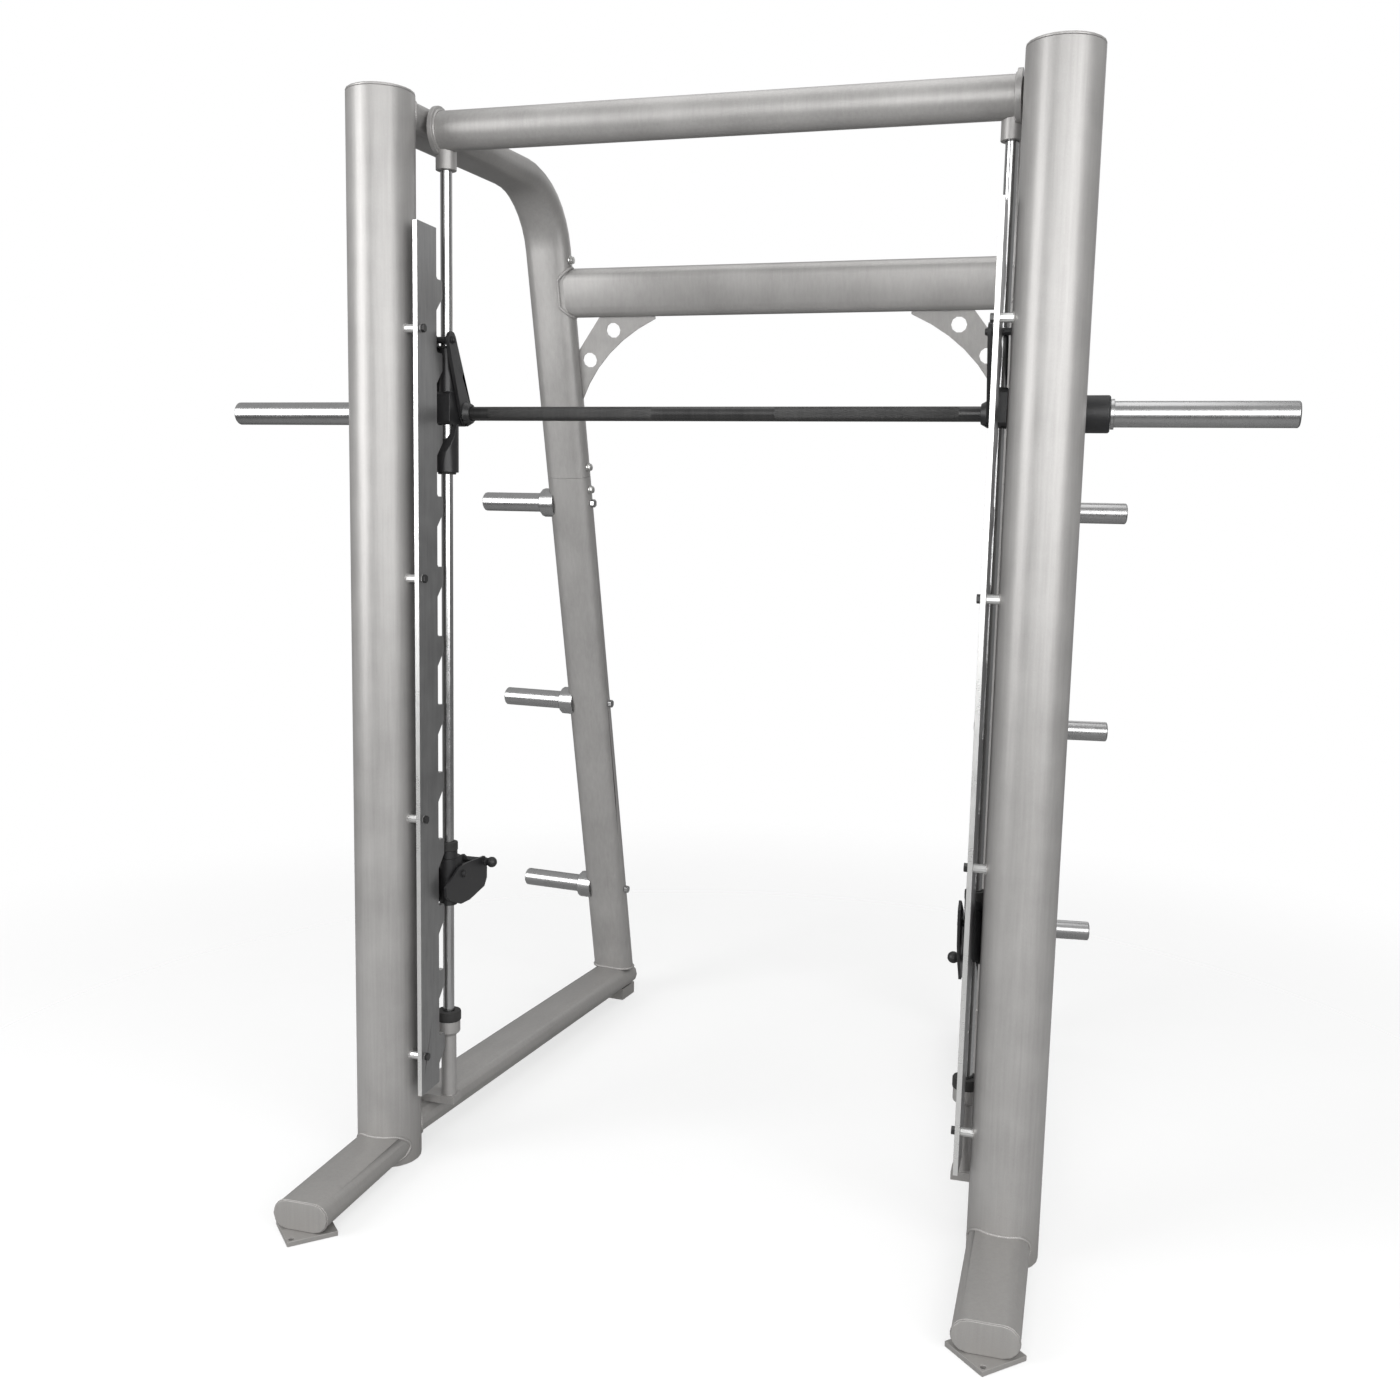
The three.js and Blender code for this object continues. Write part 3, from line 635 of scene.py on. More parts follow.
def bead(
    path: np.ndarray,
    outward: np.ndarray,
    radius: float,
    pitch: float = 0.0042,
    sides: int = 10,
    swelling: float = 0.22,
) -> Shell:
    """A weld bead along a closed path: a round section whose radius swells once for each drop of metal.

    point = path + radius * (1 + swelling |sin(pi * length / pitch)|) * (cos v outward + sin v across),
    where across is the path's direction turned a quarter about the outward direction.

    Args:
        path: points of the closed path, one row each.
        outward: the outward direction at each point.
        radius: the bead's radius between drops.
        pitch: length of one drop.
        sides: points round the section.
        swelling: how much thicker a drop is at its middle, as a share of the radius.

    Returns:
        The closed shell.
    """
    ahead = np.roll(path, -1, axis=0) - np.roll(path, 1, axis=0)
    ahead /= np.linalg.norm(ahead, axis=1, keepdims=True)
    normal = outward - (outward * ahead).sum(1, keepdims=True) * ahead
    normal /= np.linalg.norm(normal, axis=1, keepdims=True)
    across = np.cross(ahead, normal)
    length = np.cumsum(np.linalg.norm(path - np.roll(path, 1, axis=0), axis=1))
    drops = max(1, round(length[-1] / pitch))
    swell = radius * (1 + swelling * np.abs(np.sin(math.pi * drops * length / length[-1])))
    v = np.arange(sides) * TAU / sides
    section = np.cos(v)[None, :, None] * normal[:, None] + np.sin(v)[None, :, None] * across[:, None]
    points = path[:, None] + swell[:, None, None] * section
    faces = [tuple(q) for q in grid_faces(len(path), sides, True).tolist()]
    return Shell(points.reshape(-1, 3), faces)


def oval(width: float, height: float, steps: int) -> tuple[np.ndarray, np.ndarray]:
    """A flat oval outline walked at even speed: two straight runs joined by half circles.

    Args:
        width: the longer side.
        height: the shorter side, twice the end radius.
        steps: number of points.

    Returns:
        The points and their outward directions, both as two columns.
    """
    r, run = height / 2, width - height
    total = 2 * run + TAU * r
    s = (np.arange(steps) + 0.5) / steps * total
    arc = math.pi * r
    on_top, on_left = s < run, (s >= run) & (s < run + arc)
    on_bottom = (s >= run + arc) & (s < 2 * run + arc)
    left_turn = math.pi / 2 + (s - run) / r
    right_turn = -math.pi / 2 + (s - 2 * run - arc) / r
    parts, still = [on_top, on_left, on_bottom], np.zeros_like(s)
    out_x = np.select(parts, [still, np.cos(left_turn), still], np.cos(right_turn))
    out_y = np.select(parts, [still + 1, np.sin(left_turn), still - 1], np.sin(right_turn))
    mid_x = np.select(parts, [run / 2 - s, still - run / 2, s - run - arc - run / 2], run / 2)
    return np.stack([mid_x + r * out_x, r * out_y], 1), np.stack([out_x, out_y], 1)


def put(
    name: str,
    shell: Shell,
    finish: bpy.types.Material,
    body: str,
    smooth: float = 35.0,
) -> None:
    """Puts a shell into the scene as one piece that rides on a body.

    Args:
        name: the piece's name.
        shell: its points and faces, in place.
        finish: its material.
        body: the body it moves with.
        smooth: edges sharper than this angle, in degrees, stay crisp.
    """
    mesh = bpy.data.meshes.new(name)
    mesh.from_pydata(shell.points.tolist(), [], shell.faces)
    work = bmesh.new()
    work.from_mesh(mesh)
    bmesh.ops.recalc_face_normals(work, faces=work.faces)
    limit = math.radians(smooth)
    for edge in work.edges:
        edge.smooth = edge.calc_face_angle(0.0) < limit
    for face in work.faces:
        face.smooth = True
    work.to_mesh(mesh)
    work.free()
    mesh.materials.append(finish)
    piece = bpy.data.objects.new(name, mesh)
    bpy.context.scene.collection.objects.link(piece)
    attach(piece, body)
    log.info("piece %s: %d faces on %s", name, len(mesh.polygons), body)


class Shading:
    """The live modifiers that give a node of the frame smooth rounds and softened edges."""

    merge: float = 0.00002  # corners nearer than this are one

    def __init__(self) -> None:
        """Makes the node group that merges the loose triangles and marks the crisp edges."""
        tree = bpy.data.node_groups.new("crisp_edges", "GeometryNodeTree")
        tree.interface.new_socket("Geometry", in_out="INPUT", socket_type="NodeSocketGeometry")
        tree.interface.new_socket("Geometry", in_out="OUTPUT", socket_type="NodeSocketGeometry")
        nodes, links = tree.nodes, tree.links
        start, end = nodes.new("NodeGroupInput"), nodes.new("NodeGroupOutput")
        merge = nodes.new("GeometryNodeMergeByDistance")
        merge.inputs["Distance"].default_value = self.merge
        angle = nodes.new("GeometryNodeInputMeshEdgeAngle")
        compare = nodes.new("FunctionNodeCompare")
        compare.data_type, compare.operation = "FLOAT", "GREATER_THAN"
        compare.inputs[1].default_value = CRISP
        normal = nodes.new("GeometryNodeSetMeshNormal")
        normal.mode = "SHARPNESS"
        normal.inputs["Remove Custom"].default_value = True
        links.new(start.outputs[0], merge.inputs["Geometry"])
        links.new(merge.outputs["Geometry"], normal.inputs["Mesh"])
        links.new(angle.outputs["Unsigned Angle"], compare.inputs[0])
        links.new(compare.outputs[0], normal.inputs["Edge Sharpness"])
        links.new(normal.outputs[0], end.inputs[0])
        self.tree = tree

    def dress(self, node: str, finish: bpy.types.Material, edge: float = 0.0008) -> None:
        """Gives a node of the frame its finish, smooth rounds and a small radius on its edges.

        Args:
            node: the node's name.
            finish: its material.
            edge: the radius of its edges, in metres, or 0 to leave them sharp.
        """
        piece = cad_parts[node]
        piece.data.materials.clear()
        piece.data.materials.append(finish)
        crisp = piece.modifiers.new("crisp_edges", "NODES")
        crisp.node_group = self.tree
        if edge:
            soft = piece.modifiers.new("edge_radius", "BEVEL")
            soft.width, soft.segments = edge, 2
            soft.limit_method, soft.angle_limit = "ANGLE", CRISP
            soft.harden_normals, soft.use_clamp_overlap = True, False
        log.info("node %s dressed in %s", node, finish.name)


# ---- where things are ----


@dataclass(frozen=True)
class SideFrame:
    """The leaning, converging plane of one side's tubes, with its origin on the upright's axis."""

    side: Side
    upright_x: float = 0.675
    upright_y: float = -0.388
    converge: float = 0.112
    post_foot: float = 1.162
    post_lean: float = 0.217

    def world(self, across: np.ndarray, along: np.ndarray, height: np.ndarray) -> np.ndarray:
        """Points of the side frame in the machine's own axes.

        Args:
            across: outboard distance from the frame's plane.
            along: distance back from the upright's axis, along the frame.
            height: height over the floor.

        Returns:
            One row of X, Y and Z for each point.
        """
        across, along, height = np.broadcast_arrays(across, along, height)
        turn = math.atan(self.converge)
        x = self.upright_x + across * math.cos(turn) - along * math.sin(turn)
        y = self.upright_y + across * math.sin(turn) + along * math.cos(turn)
        return np.stack([self.side.value * x, y, height], -1)

    def direction(self, across: np.ndarray, along: np.ndarray, height: np.ndarray) -> np.ndarray:
        """Directions of the side frame in the machine's own axes, as world() does points."""
        return self.world(across, along, height) - self.world(0.0, 0.0, 0.0)

    def post(self, height: float) -> float:
        """How far back the rear post's middle is at a height, along the frame."""
        return (self.post_foot - self.post_lean * height) * math.hypot(1, self.converge)

    @property
    def lean(self) -> float:
        """The rear post's lean from upright, in radians."""
        return math.atan(self.post_lean)

    def on_post(self, middle: float, across: np.ndarray, up: np.ndarray, depth: np.ndarray) -> np.ndarray:
        """Points measured from the rear post's middle at a height.

        Args:
            middle: the height of the post's middle that the points are measured from.
            across: outboard distance.
            up: distance up along the post.
            depth: distance back, square to the post.

        Returns:
            One row of X, Y and Z for each point.
        """
        sine, cosine = math.sin(self.lean), math.cos(self.lean)
        along = self.post(middle) - up * sine + depth * cosine
        return self.world(across, along, middle + up * cosine + depth * sine)


SIDES = [SideFrame(side) for side in Side]


@dataclass(frozen=True)
class HexBolt:
    """Hexagon head with a chamfered crown on a plain washer."""

    flat: float = 0.0085
    head: float = 0.007
    washer: float = 0.012
    washer_thick: float = 0.0018
    washer_edge: float = 0.0004
    chamfer: float = 0.0016
    shoulder: float = 0.0003

    def shell(self, seat: Sequence[float], axis: Sequence[float]) -> Shell:
        """The bolt head standing on a face.

        Args:
            seat: the point of the face under the washer.
            axis: direction out of the face.

        Returns:
            Washer and head as one shell.
        """
        w, t, f, edge = self.washer, self.washer_thick, self.flat, self.washer_edge
        disc = [(w - edge, -0.001), (w, -0.0005), (w, t - edge), (w - edge, t)]
        corner, top = f / math.cos(TAU / 12), t + self.head
        crown = [
            (corner, t),
            (corner, top - self.chamfer),
            (f * 0.98, top - self.shoulder),
            (f * 0.9, top),
            (f * 0.3, top),
        ]
        return turned(disc, seat, axis, 36).joined(turned(crown, seat, axis, 72, hexagon=f))


# ---- sub-assemblies ----


@dataclass
class Finishes:
    """Every finish, made once."""

    silver: bpy.types.Material = field(default_factory=SilverCoat().material)
    rod: bpy.types.Material = field(default_factory=BrightSteel("ground_rod", Lay.ALONG_Z).material)
    sleeve: bpy.types.Material = field(
        default_factory=BrightSteel(
            "turned_sleeve", Lay.ALONG_X, (0.30, 0.30, 0.302), (0.56, 0.56, 0.56), 0.28
        ).material
    )
    plate: bpy.types.Material = field(default_factory=CutPlate().material)
    black: bpy.types.Material = field(default_factory=SatinBlack("satin_black").material)
    cast: bpy.types.Material = field(
        default_factory=SatinBlack("cast_black", wear=0.25, roughness=0.5, grain=0.0022).material
    )
    rubber: bpy.types.Material = field(default_factory=BlackRubber().material)
    zinc: bpy.types.Material = field(default_factory=ZincPlate().material)


@dataclass
class Welds:
    """The welds where oval tubes meet the uprights, the posts and each other."""

    finishes: Finishes
    upright_radius: float = 0.070
    tube_width: float = 0.120
    tube_height: float = 0.060
    bead_radius: float = 0.0034
    tilt: float = 0.6
    steps: int = 420
    fine_pitch: float = 0.0034
    standoff_offset: float = -0.020
    standoff_radius: float = 0.0095
    standoff_bead: float = 0.0016
    standoff_heights: tuple[float, ...] = (0.250, 0.781, 1.296, 1.807)
    flange_thick: float = 0.010
    top_bar_radius: float = 0.0405
    flange_bead: float = 0.003
    cap_bead: float = 0.0013
    cap_inset: float = 0.0006

    def saddle(self, place: SideFrame, height: float, offset: float, back: int) -> Shell:
        """The weld of a level oval tube on the round upright.

        The tube's outline is carried along the frame until it meets the cylinder: the distance back is
        the square root of radius squared less the square of the outline's distance across.

        Args:
            place: the side frame.
            height: the tube's middle height.
            offset: how far outboard of the upright's axis the tube's middle is.
            back: 1 for a tube behind the upright, -1 for one in front of it.

        Returns:
            The bead.
        """
        outline, out = oval(self.tube_width, self.tube_height, self.steps)
        across = outline[:, 0] + offset
        along = back * np.sqrt(self.upright_radius**2 - across**2)
        if back > 0:
            path = place.world(across, along, height + outline[:, 1])
            outward = place.direction(out[:, 0], back * self.tilt, out[:, 1])
        else:
            x = place.side.value * (place.upright_x + across)
            path = np.stack([x, place.upright_y + along, height + outline[:, 1]], -1)
            outward = np.stack([place.side.value * out[:, 0], 0 * along + back * self.tilt, out[:, 1]], -1)
        return bead(path, outward, self.bead_radius)

    def ring(self, centre: Point, axis: Point, radius: float, thick: float) -> Shell:
        """A weld round a round part.

        Args:
            centre: the ring's middle.
            axis: the round part's direction.
            radius: its radius.
            thick: the bead's radius.

        Returns:
            The bead.
        """
        along = Vector(axis).normalized()
        first = along.orthogonal().normalized()
        u, v = np.array(first), np.array(along.cross(first))
        count = max(96, int(radius * 4000))
        turn = np.arange(count) / count * TAU
        out = np.cos(turn)[:, None] * u + np.sin(turn)[:, None] * v
        path = np.array(centre) + radius * out
        return bead(path, out + 0.5 * np.array(along), thick, self.fine_pitch)

    def post_foot(self, place: SideFrame) -> Shell:
        """The weld of the leaning rear post on the level base tube: the post's outline cut level.

        Args:
            place: the side of the machine.

        Returns:
            The bead.
        """
        outline, out = oval(self.tube_width, self.tube_height, self.steps)
        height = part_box(f"base_tube_{place.side.tag}")[1].z + 0.0004
        along = place.post(height) + outline[:, 1] / math.cos(place.lean)
        path = place.world(outline[:, 0], along, height + 0.001)
        return bead(path, place.direction(out[:, 0], out[:, 1], self.tilt), self.bead_radius)

    def crossbar_end(self, place: SideFrame) -> Shell:
        """The weld of the rear crossbar round the rounded inboard edge of the post.

        The crossbar's outline is laid on the post's half-round edge: the distance inboard is the edge
        radius plus the square root of its square less the square of the depth.

        Args:
            place: the side of the machine.

        Returns:
            The bead.
        """
        low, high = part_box("rear_crossbar")
        middle = (low.z + high.z) / 2
        outline, out = oval(self.tube_width, self.tube_height - 0.0004, self.steps)
        up, depth, edge = outline[:, 0], outline[:, 1], self.tube_height / 2
        across = -(edge + np.sqrt(np.maximum(edge**2 - depth**2, 0.0)))
        sine, cosine = math.sin(place.lean), math.cos(place.lean)
        normal = place.direction(-0.5, out[:, 1] * cosine - out[:, 0] * sine, out[:, 0])
        return bead(place.on_post(middle, across, up, depth), normal, self.bead_radius)

    def standoff(self, place: SideFrame, height: float) -> Shell:
        """The weld of a lock plate's standoff on the upright: a circle laid on the cylinder.

        Args:
            place: the side of the machine.
            height: the standoff's height.

        Returns:
            The bead.
        """
        turn = np.arange(120) / 120 * TAU
        sign, radius = place.side.value, self.standoff_radius
        y = self.standoff_offset + radius * np.cos(turn)
        x = place.upright_x - np.sqrt(self.upright_radius**2 - y**2)
        path = np.stack([sign * x, place.upright_y + y, height + radius * np.sin(turn)], -1)
        outward = np.stack([0 * turn - sign * 0.7, np.cos(turn), np.sin(turn)], -1)
        return bead(path, outward, self.standoff_bead, 0.003)

    def top_flange(self, side: Side) -> Shell:
        """The weld of the top crossbar on its end flange.

        Args:
            side: the side of the machine.

        Returns:
            The bead.
        """
        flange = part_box("top_crossbar")
        low, high = flange
        centre = (side.value * (high.x - self.flange_thick), (low.y + high.y) / 2, (low.z + high.z) / 2)
        return self.ring(centre, (-side.value, 0, 0), self.top_bar_radius, self.flange_bead)

    def leg_cap(self, side: Side) -> Shell:
        """The weld round a front leg's end plate.

        Args:
            side: the side of the machine.

        Returns:
            The bead.
        """
        tag = side.tag
        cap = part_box(f"leg_cap_{tag}")
        low, high = cap
        inset = 2 * self.cap_inset
        outline, out = oval(self.tube_width - inset, self.tube_height - inset, self.steps)
        x = (low.x + high.x) / 2 + outline[:, 0]
        path = np.stack([x, 0 * x + high.y, (low.z + high.z) / 2 + outline[:, 1]], -1)
        return bead(path, np.stack([out[:, 0], 0 * x, out[:, 1]], -1), self.cap_bead, 0.006)

    def build(self) -> None:
        """Builds the welds of both sides."""
        for place in SIDES:
            tag = place.side.tag
            leg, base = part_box(f"leg_{tag}"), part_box(f"base_tube_{tag}")
            leg_offset = abs(leg[0].x + leg[1].x) / 2 - place.upright_x
            rail_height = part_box(f"upper_post_{tag}")[1].z - self.tube_height / 2
            stands = [self.standoff(place, z) for z in self.standoff_heights]
            welds = {
                "leg": self.saddle(place, (leg[0].z + leg[1].z) / 2, leg_offset, -1),
                "base": self.saddle(place, (base[0].z + base[1].z) / 2, 0.0, 1),
                "rail": self.saddle(place, rail_height, 0.0, 1),
                "post_foot": self.post_foot(place),
                "crossbar": self.crossbar_end(place),
                "top_flange": self.top_flange(place.side),
                "standoffs": stands[0].joined(*stands[1:]),
                "leg_cap": self.leg_cap(place.side),
            }
            for name, shell in welds.items():
                put(f"weld_{name}_{tag}", shell, self.finishes.silver, "frame", WELD_SMOOTH)


@dataclass
class Tubes:
    """The painted frame nodes."""

    finishes: Finishes
    shading: Shading

    def build(self) -> None:
        """Dresses the frame's tubes, plates and sockets."""
        paired = (
            ("upright", 0.0010),
            ("upright_cap", 0.0010),
            ("leg", 0.0008),
            ("leg_cap", 0.0014),
            ("front_foot", 0.0009),
            ("base_tube", 0.0008),
            ("rear_foot", 0.0010),
            ("lower_post", 0.0008),
            ("upper_post", 0.0008),
            ("gusset", 0.0007),
            ("rod_top_socket", 0.0008),
            ("rod_foot_socket", 0.0010),
        )
        for side in Side:
            for name, edge in paired:
                self.shading.dress(f"{name}_{side.tag}", self.finishes.silver, edge)
        self.shading.dress("top_crossbar", self.finishes.silver)
        self.shading.dress("rear_crossbar", self.finishes.silver)


@dataclass
class BaseCaps:
    """The plugs that close the rear ends of the base tubes."""

    finishes: Finishes
    width: float = 0.1116
    height: float = 0.0516
    thick: float = 0.012
    inset: float = 0.0008
    crown: float = 0.0006
    overhang: float = 0.030
    steps: int = 160

    def plug(self, place: SideFrame) -> Shell:
        """A flat-oval plug set just inside the tube's end, with a slightly crowned outer face.

        Args:
            place: the side of the machine.

        Returns:
            The closed plug.
        """
        low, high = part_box(f"base_tube_{place.side.tag}")
        middle = (low.z + high.z) / 2
        outline, _ = oval(self.width, self.height, self.steps)
        end = place.post(middle) + self.overhang
        stations = (
            (0.02, self.thick),
            (1.0, self.thick),
            (1.0, self.inset),
            (0.96, 0.0),
            (0.5, -self.crown),
            (0.02, -self.crown),
        )
        rings = []
        for scale, back in stations:
            along = end - self.inset - back
            rings.append(place.world(scale * outline[:, 0], along, middle + scale * outline[:, 1]))
        count = len(outline)
        faces = [tuple(face) for face in grid_faces(len(rings), count, False).tolist()]
        faces.append(tuple(range(count)))
        faces.append(tuple(range(len(rings) * count - 1, (len(rings) - 1) * count - 1, -1)))
        return Shell(np.vstack(rings), faces)

    def build(self) -> None:
        """Builds the plugs of both sides."""
        for place in SIDES:
            put(f"base_plug_{place.side.tag}", self.plug(place), self.finishes.cast, "frame")


@dataclass
class Fasteners:
    """Bolt heads of the rear frame: splice and crossbar ends."""

    finishes: Finishes
    edge_radius: float = 0.030
    over_splice: float = 0.030
    under_splice: float = 0.028
    over_crossbar: float = 0.018

    def on_edge(self, place: SideFrame, height: float) -> Shell:
        """A bolt on the inboard edge of the rear post at a height."""
        seat = place.world(-2 * self.edge_radius, place.post(height), height)
        return HexBolt().shell(seat, place.direction(-1.0, 0.0, 0.0))

    def build(self) -> None:
        """Builds the bolts of both sides."""
        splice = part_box("upper_post_right")[0].z
        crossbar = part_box("rear_crossbar")
        over = crossbar[1].z + self.over_crossbar
        for place in SIDES:
            by_splice = (splice + self.over_splice, splice - self.under_splice)
            bolts = [self.on_edge(place, z) for z in (*by_splice, over)]
            shell = bolts[0].joined(*bolts[1:])
            put(f"bolts_{place.side.tag}", shell, self.finishes.zinc, "frame")


@dataclass
class Guides:
    """The guide rods, their rubber rings and the toothed lock plates."""

    finishes: Finishes
    shading: Shading

    def build(self) -> None:
        """Dresses the guide rods, bumpers and lock plates."""
        for side in Side:
            self.shading.dress(f"guide_rod_{side.tag}", self.finishes.rod, 0.0006)
            self.shading.dress(f"rod_bumper_{side.tag}", self.finishes.rubber, 0.0022)
            self.shading.dress(f"lock_plate_{side.tag}", self.finishes.plate, 0.0005)


@dataclass
class Horns:
    """Plate storage horns, each with a coped collar root, a weld and a turned cap on its end."""

    finishes: Finishes
    shading: Shading
    welds: Welds
    horn_radius: float = 0.025
    reach: float = 0.2623
    collar_reach: float = 0.0823
    heights: tuple[float, ...] = (0.350, 0.913, 1.465)
    collar_radius: float = 0.0378
    collar_root: float = 0.0612
    skirt_wall: float = 0.007
    post_edge: float = 0.030
    skirt_end: float = 0.040
    skirt_sides: int = 128

    def skirt(self, place: SideFrame, height: float) -> Shell:
        """The collar's coped root, a round wall carried inboard until it meets the post.

        Its end lies on the post's half-round edge: the distance across is the edge radius plus the
        square root of its square less the square of the wall's depth, and no nearer than the skirt's end.

        Args:
            place: the side frame.
            height: the horn's height on the post.

        Returns:
            The skirt.
        """
        turn = np.arange(self.skirt_sides) / self.skirt_sides * TAU
        outer, inner = self.collar_radius, self.collar_radius - self.skirt_wall
        rings = []
        for radius, at_post in ((outer, False), (outer, True), (inner, True), (inner, False)):
            up, depth = radius * np.cos(turn), radius * np.sin(turn)
            edge = self.post_edge + np.sqrt(np.maximum(self.post_edge**2 - depth**2, 0.0))
            across = np.maximum(edge, self.skirt_end) if at_post else self.collar_root
            rings.append(place.on_post(height, across, up, depth))
        faces = grid_faces(len(rings), self.skirt_sides, True).tolist()
        return Shell(np.vstack(rings), [tuple(face) for face in faces])

    def cap(self, end: Point, axis: Point) -> Shell:
        """The turned cap on a horn's end.

        Args:
            end: the middle of the horn's end face.
            axis: the direction the horn points in.

        Returns:
            The cap.
        """
        r = self.horn_radius
        section = [(r - 0.0035, -0.001), (r - 0.0035, 0.0006), (r - 0.006, 0.0014), (r - 0.012, 0.0018)]
        return turned(section + [(0.004, 0.0019)], end, axis, 48)

    def build(self) -> None:
        """Dresses the horns and builds their skirts, collar welds and end caps."""
        finish = self.finishes.sleeve
        for place in SIDES:
            axis = tuple(place.direction(1.0, 0.0, 0.0))
            for number, height in enumerate(self.heights, 1):
                tag = f"{number}_{place.side.tag}"
                self.shading.dress(f"horn_{tag}", finish, 0.0008)
                root = tuple(place.world(self.collar_reach, place.post(height), height))
                end = tuple(place.world(self.reach, place.post(height), height))
                ring = self.welds.ring(root, axis, self.horn_radius + 0.0008, 0.0022)
                put(f"weld_horn_{tag}", ring, finish, "frame", WELD_SMOOTH)
                put(f"horn_skirt_{tag}", self.skirt(place, height), finish, "frame")
                put(f"horn_cap_{tag}", self.cap(end, axis), finish, "frame")


@dataclass
class Bar:
    """The bar with its collars, loading sleeves, hook yokes and their fasteners."""

    finishes: Finishes
    shading: Shading
    hook_y: float = -0.304
    hook_z: float = 1.796
    inner_arm: float = 0.5566
    pin_stand: float = 0.005
    end_radius: float = 0.0162

    def hook_nuts(self, side: Side) -> Shell:
        """The nuts on both ends of a hook pin.

        Args:
            side: the side of the machine.

        Returns:
            Both nuts as one shell.
        """
        tag = side.tag
        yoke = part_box(f"yoke_{tag}")
        outer = max(abs(end.x) for end in yoke) - self.pin_stand
        nut = HexBolt(flat=0.0062, head=0.0045, washer=0.0088)
        outside = nut.shell((side.value * outer, self.hook_y, self.hook_z), (side.value, 0, 0))
        inside = nut.shell((side.value * self.inner_arm, self.hook_y, self.hook_z), (-side.value, 0, 0))
        return outside.joined(inside)

    def bar_end(self, side: Side, low: Vector, high: Vector) -> Shell:
        """The turned cap on an end of the bar.

        Args:
            side: the side of the machine.
            low: the low corner of the bar's box.
            high: the high corner of the bar's box.

        Returns:
            The cap.
        """
        end = (side.value * (high.x + 0.0002), (low.y + high.y) / 2, (low.z + high.z) / 2)
        r = self.end_radius
        rim = [(r, -0.002), (r, 0.0030), (r - 0.0012, 0.0042)]
        dimple = [(0.0060, 0.0046), (0.0045, 0.0036), (0.0010, 0.0036)]
        return turned(rim + dimple, end, (side.value, 0, 0), 48)

    def build(self) -> None:
        """Dresses the bar's nodes and builds the hook pins' nuts and the bar's end caps."""
        low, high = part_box("bar")
        self.shading.dress("bar", GripBar(tuple((low + high) / 2)).material(), 0.0006)
        cast = self.finishes.cast
        for side in Side:
            self.shading.dress(f"sleeve_{side.tag}", self.finishes.sleeve, 0.0008)
            self.shading.dress(f"collar_{side.tag}", cast, 0.0012)
            self.shading.dress(f"yoke_{side.tag}", self.finishes.black, 0.0009)
            put(f"hook_nuts_{side.tag}", self.hook_nuts(side), cast, "bar")
            put(f"bar_end_{side.tag}", self.bar_end(side, low, high), cast, "bar")


@dataclass
class Carriages:
    """The two carriages that run on the guide rods, with wiper rings round the rods."""

    finishes: Finishes
    shading: Shading
    wiper_bore: float = 0.0130
    wiper_thick: float = 0.004
    short_wiper: float = 0.0158
    long_wiper: float = 0.0195

    def wiper(self, centre: Point, outer: float, way: int) -> Shell:
        """A wiper ring on one end of a carriage, facing up or down.

        Args:
            centre: the middle of the carriage's end face.
            outer: the ring's outer radius.
            way: 1 to face up, -1 to face down.

        Returns:
            The ring.
        """
        inner, thick = self.wiper_bore, self.wiper_thick
        section = [
            (inner, 0.0),
            (outer, 0.0),
            (outer, thick - 0.001),
            (outer - 0.001, thick),
            (inner + 0.0006, thick),
            (inner, thick - 0.0008),
        ]
        return turned(section, centre, (0, 0, way), 40, ring=True)

    def build(self) -> None:
        """Dresses the carriages and builds the wiper rings at their ends."""
        for side in Side:
            node = f"carriage_{side.tag}"
            self.shading.dress(node, self.finishes.black, 0.0014)
            rod_low, rod_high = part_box(f"guide_rod_{side.tag}")
            x, y = (rod_low.x + rod_high.x) / 2, (rod_low.y + rod_high.y) / 2
            low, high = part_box(node)
            outer = self.short_wiper if side is Side.RIGHT else self.long_wiper
            rings = self.wiper((x, y, high.z), outer, 1).joined(self.wiper((x, y, low.z), outer, -1))
            put(f"wipers_{side.tag}", rings, self.finishes.rubber, "carriage")


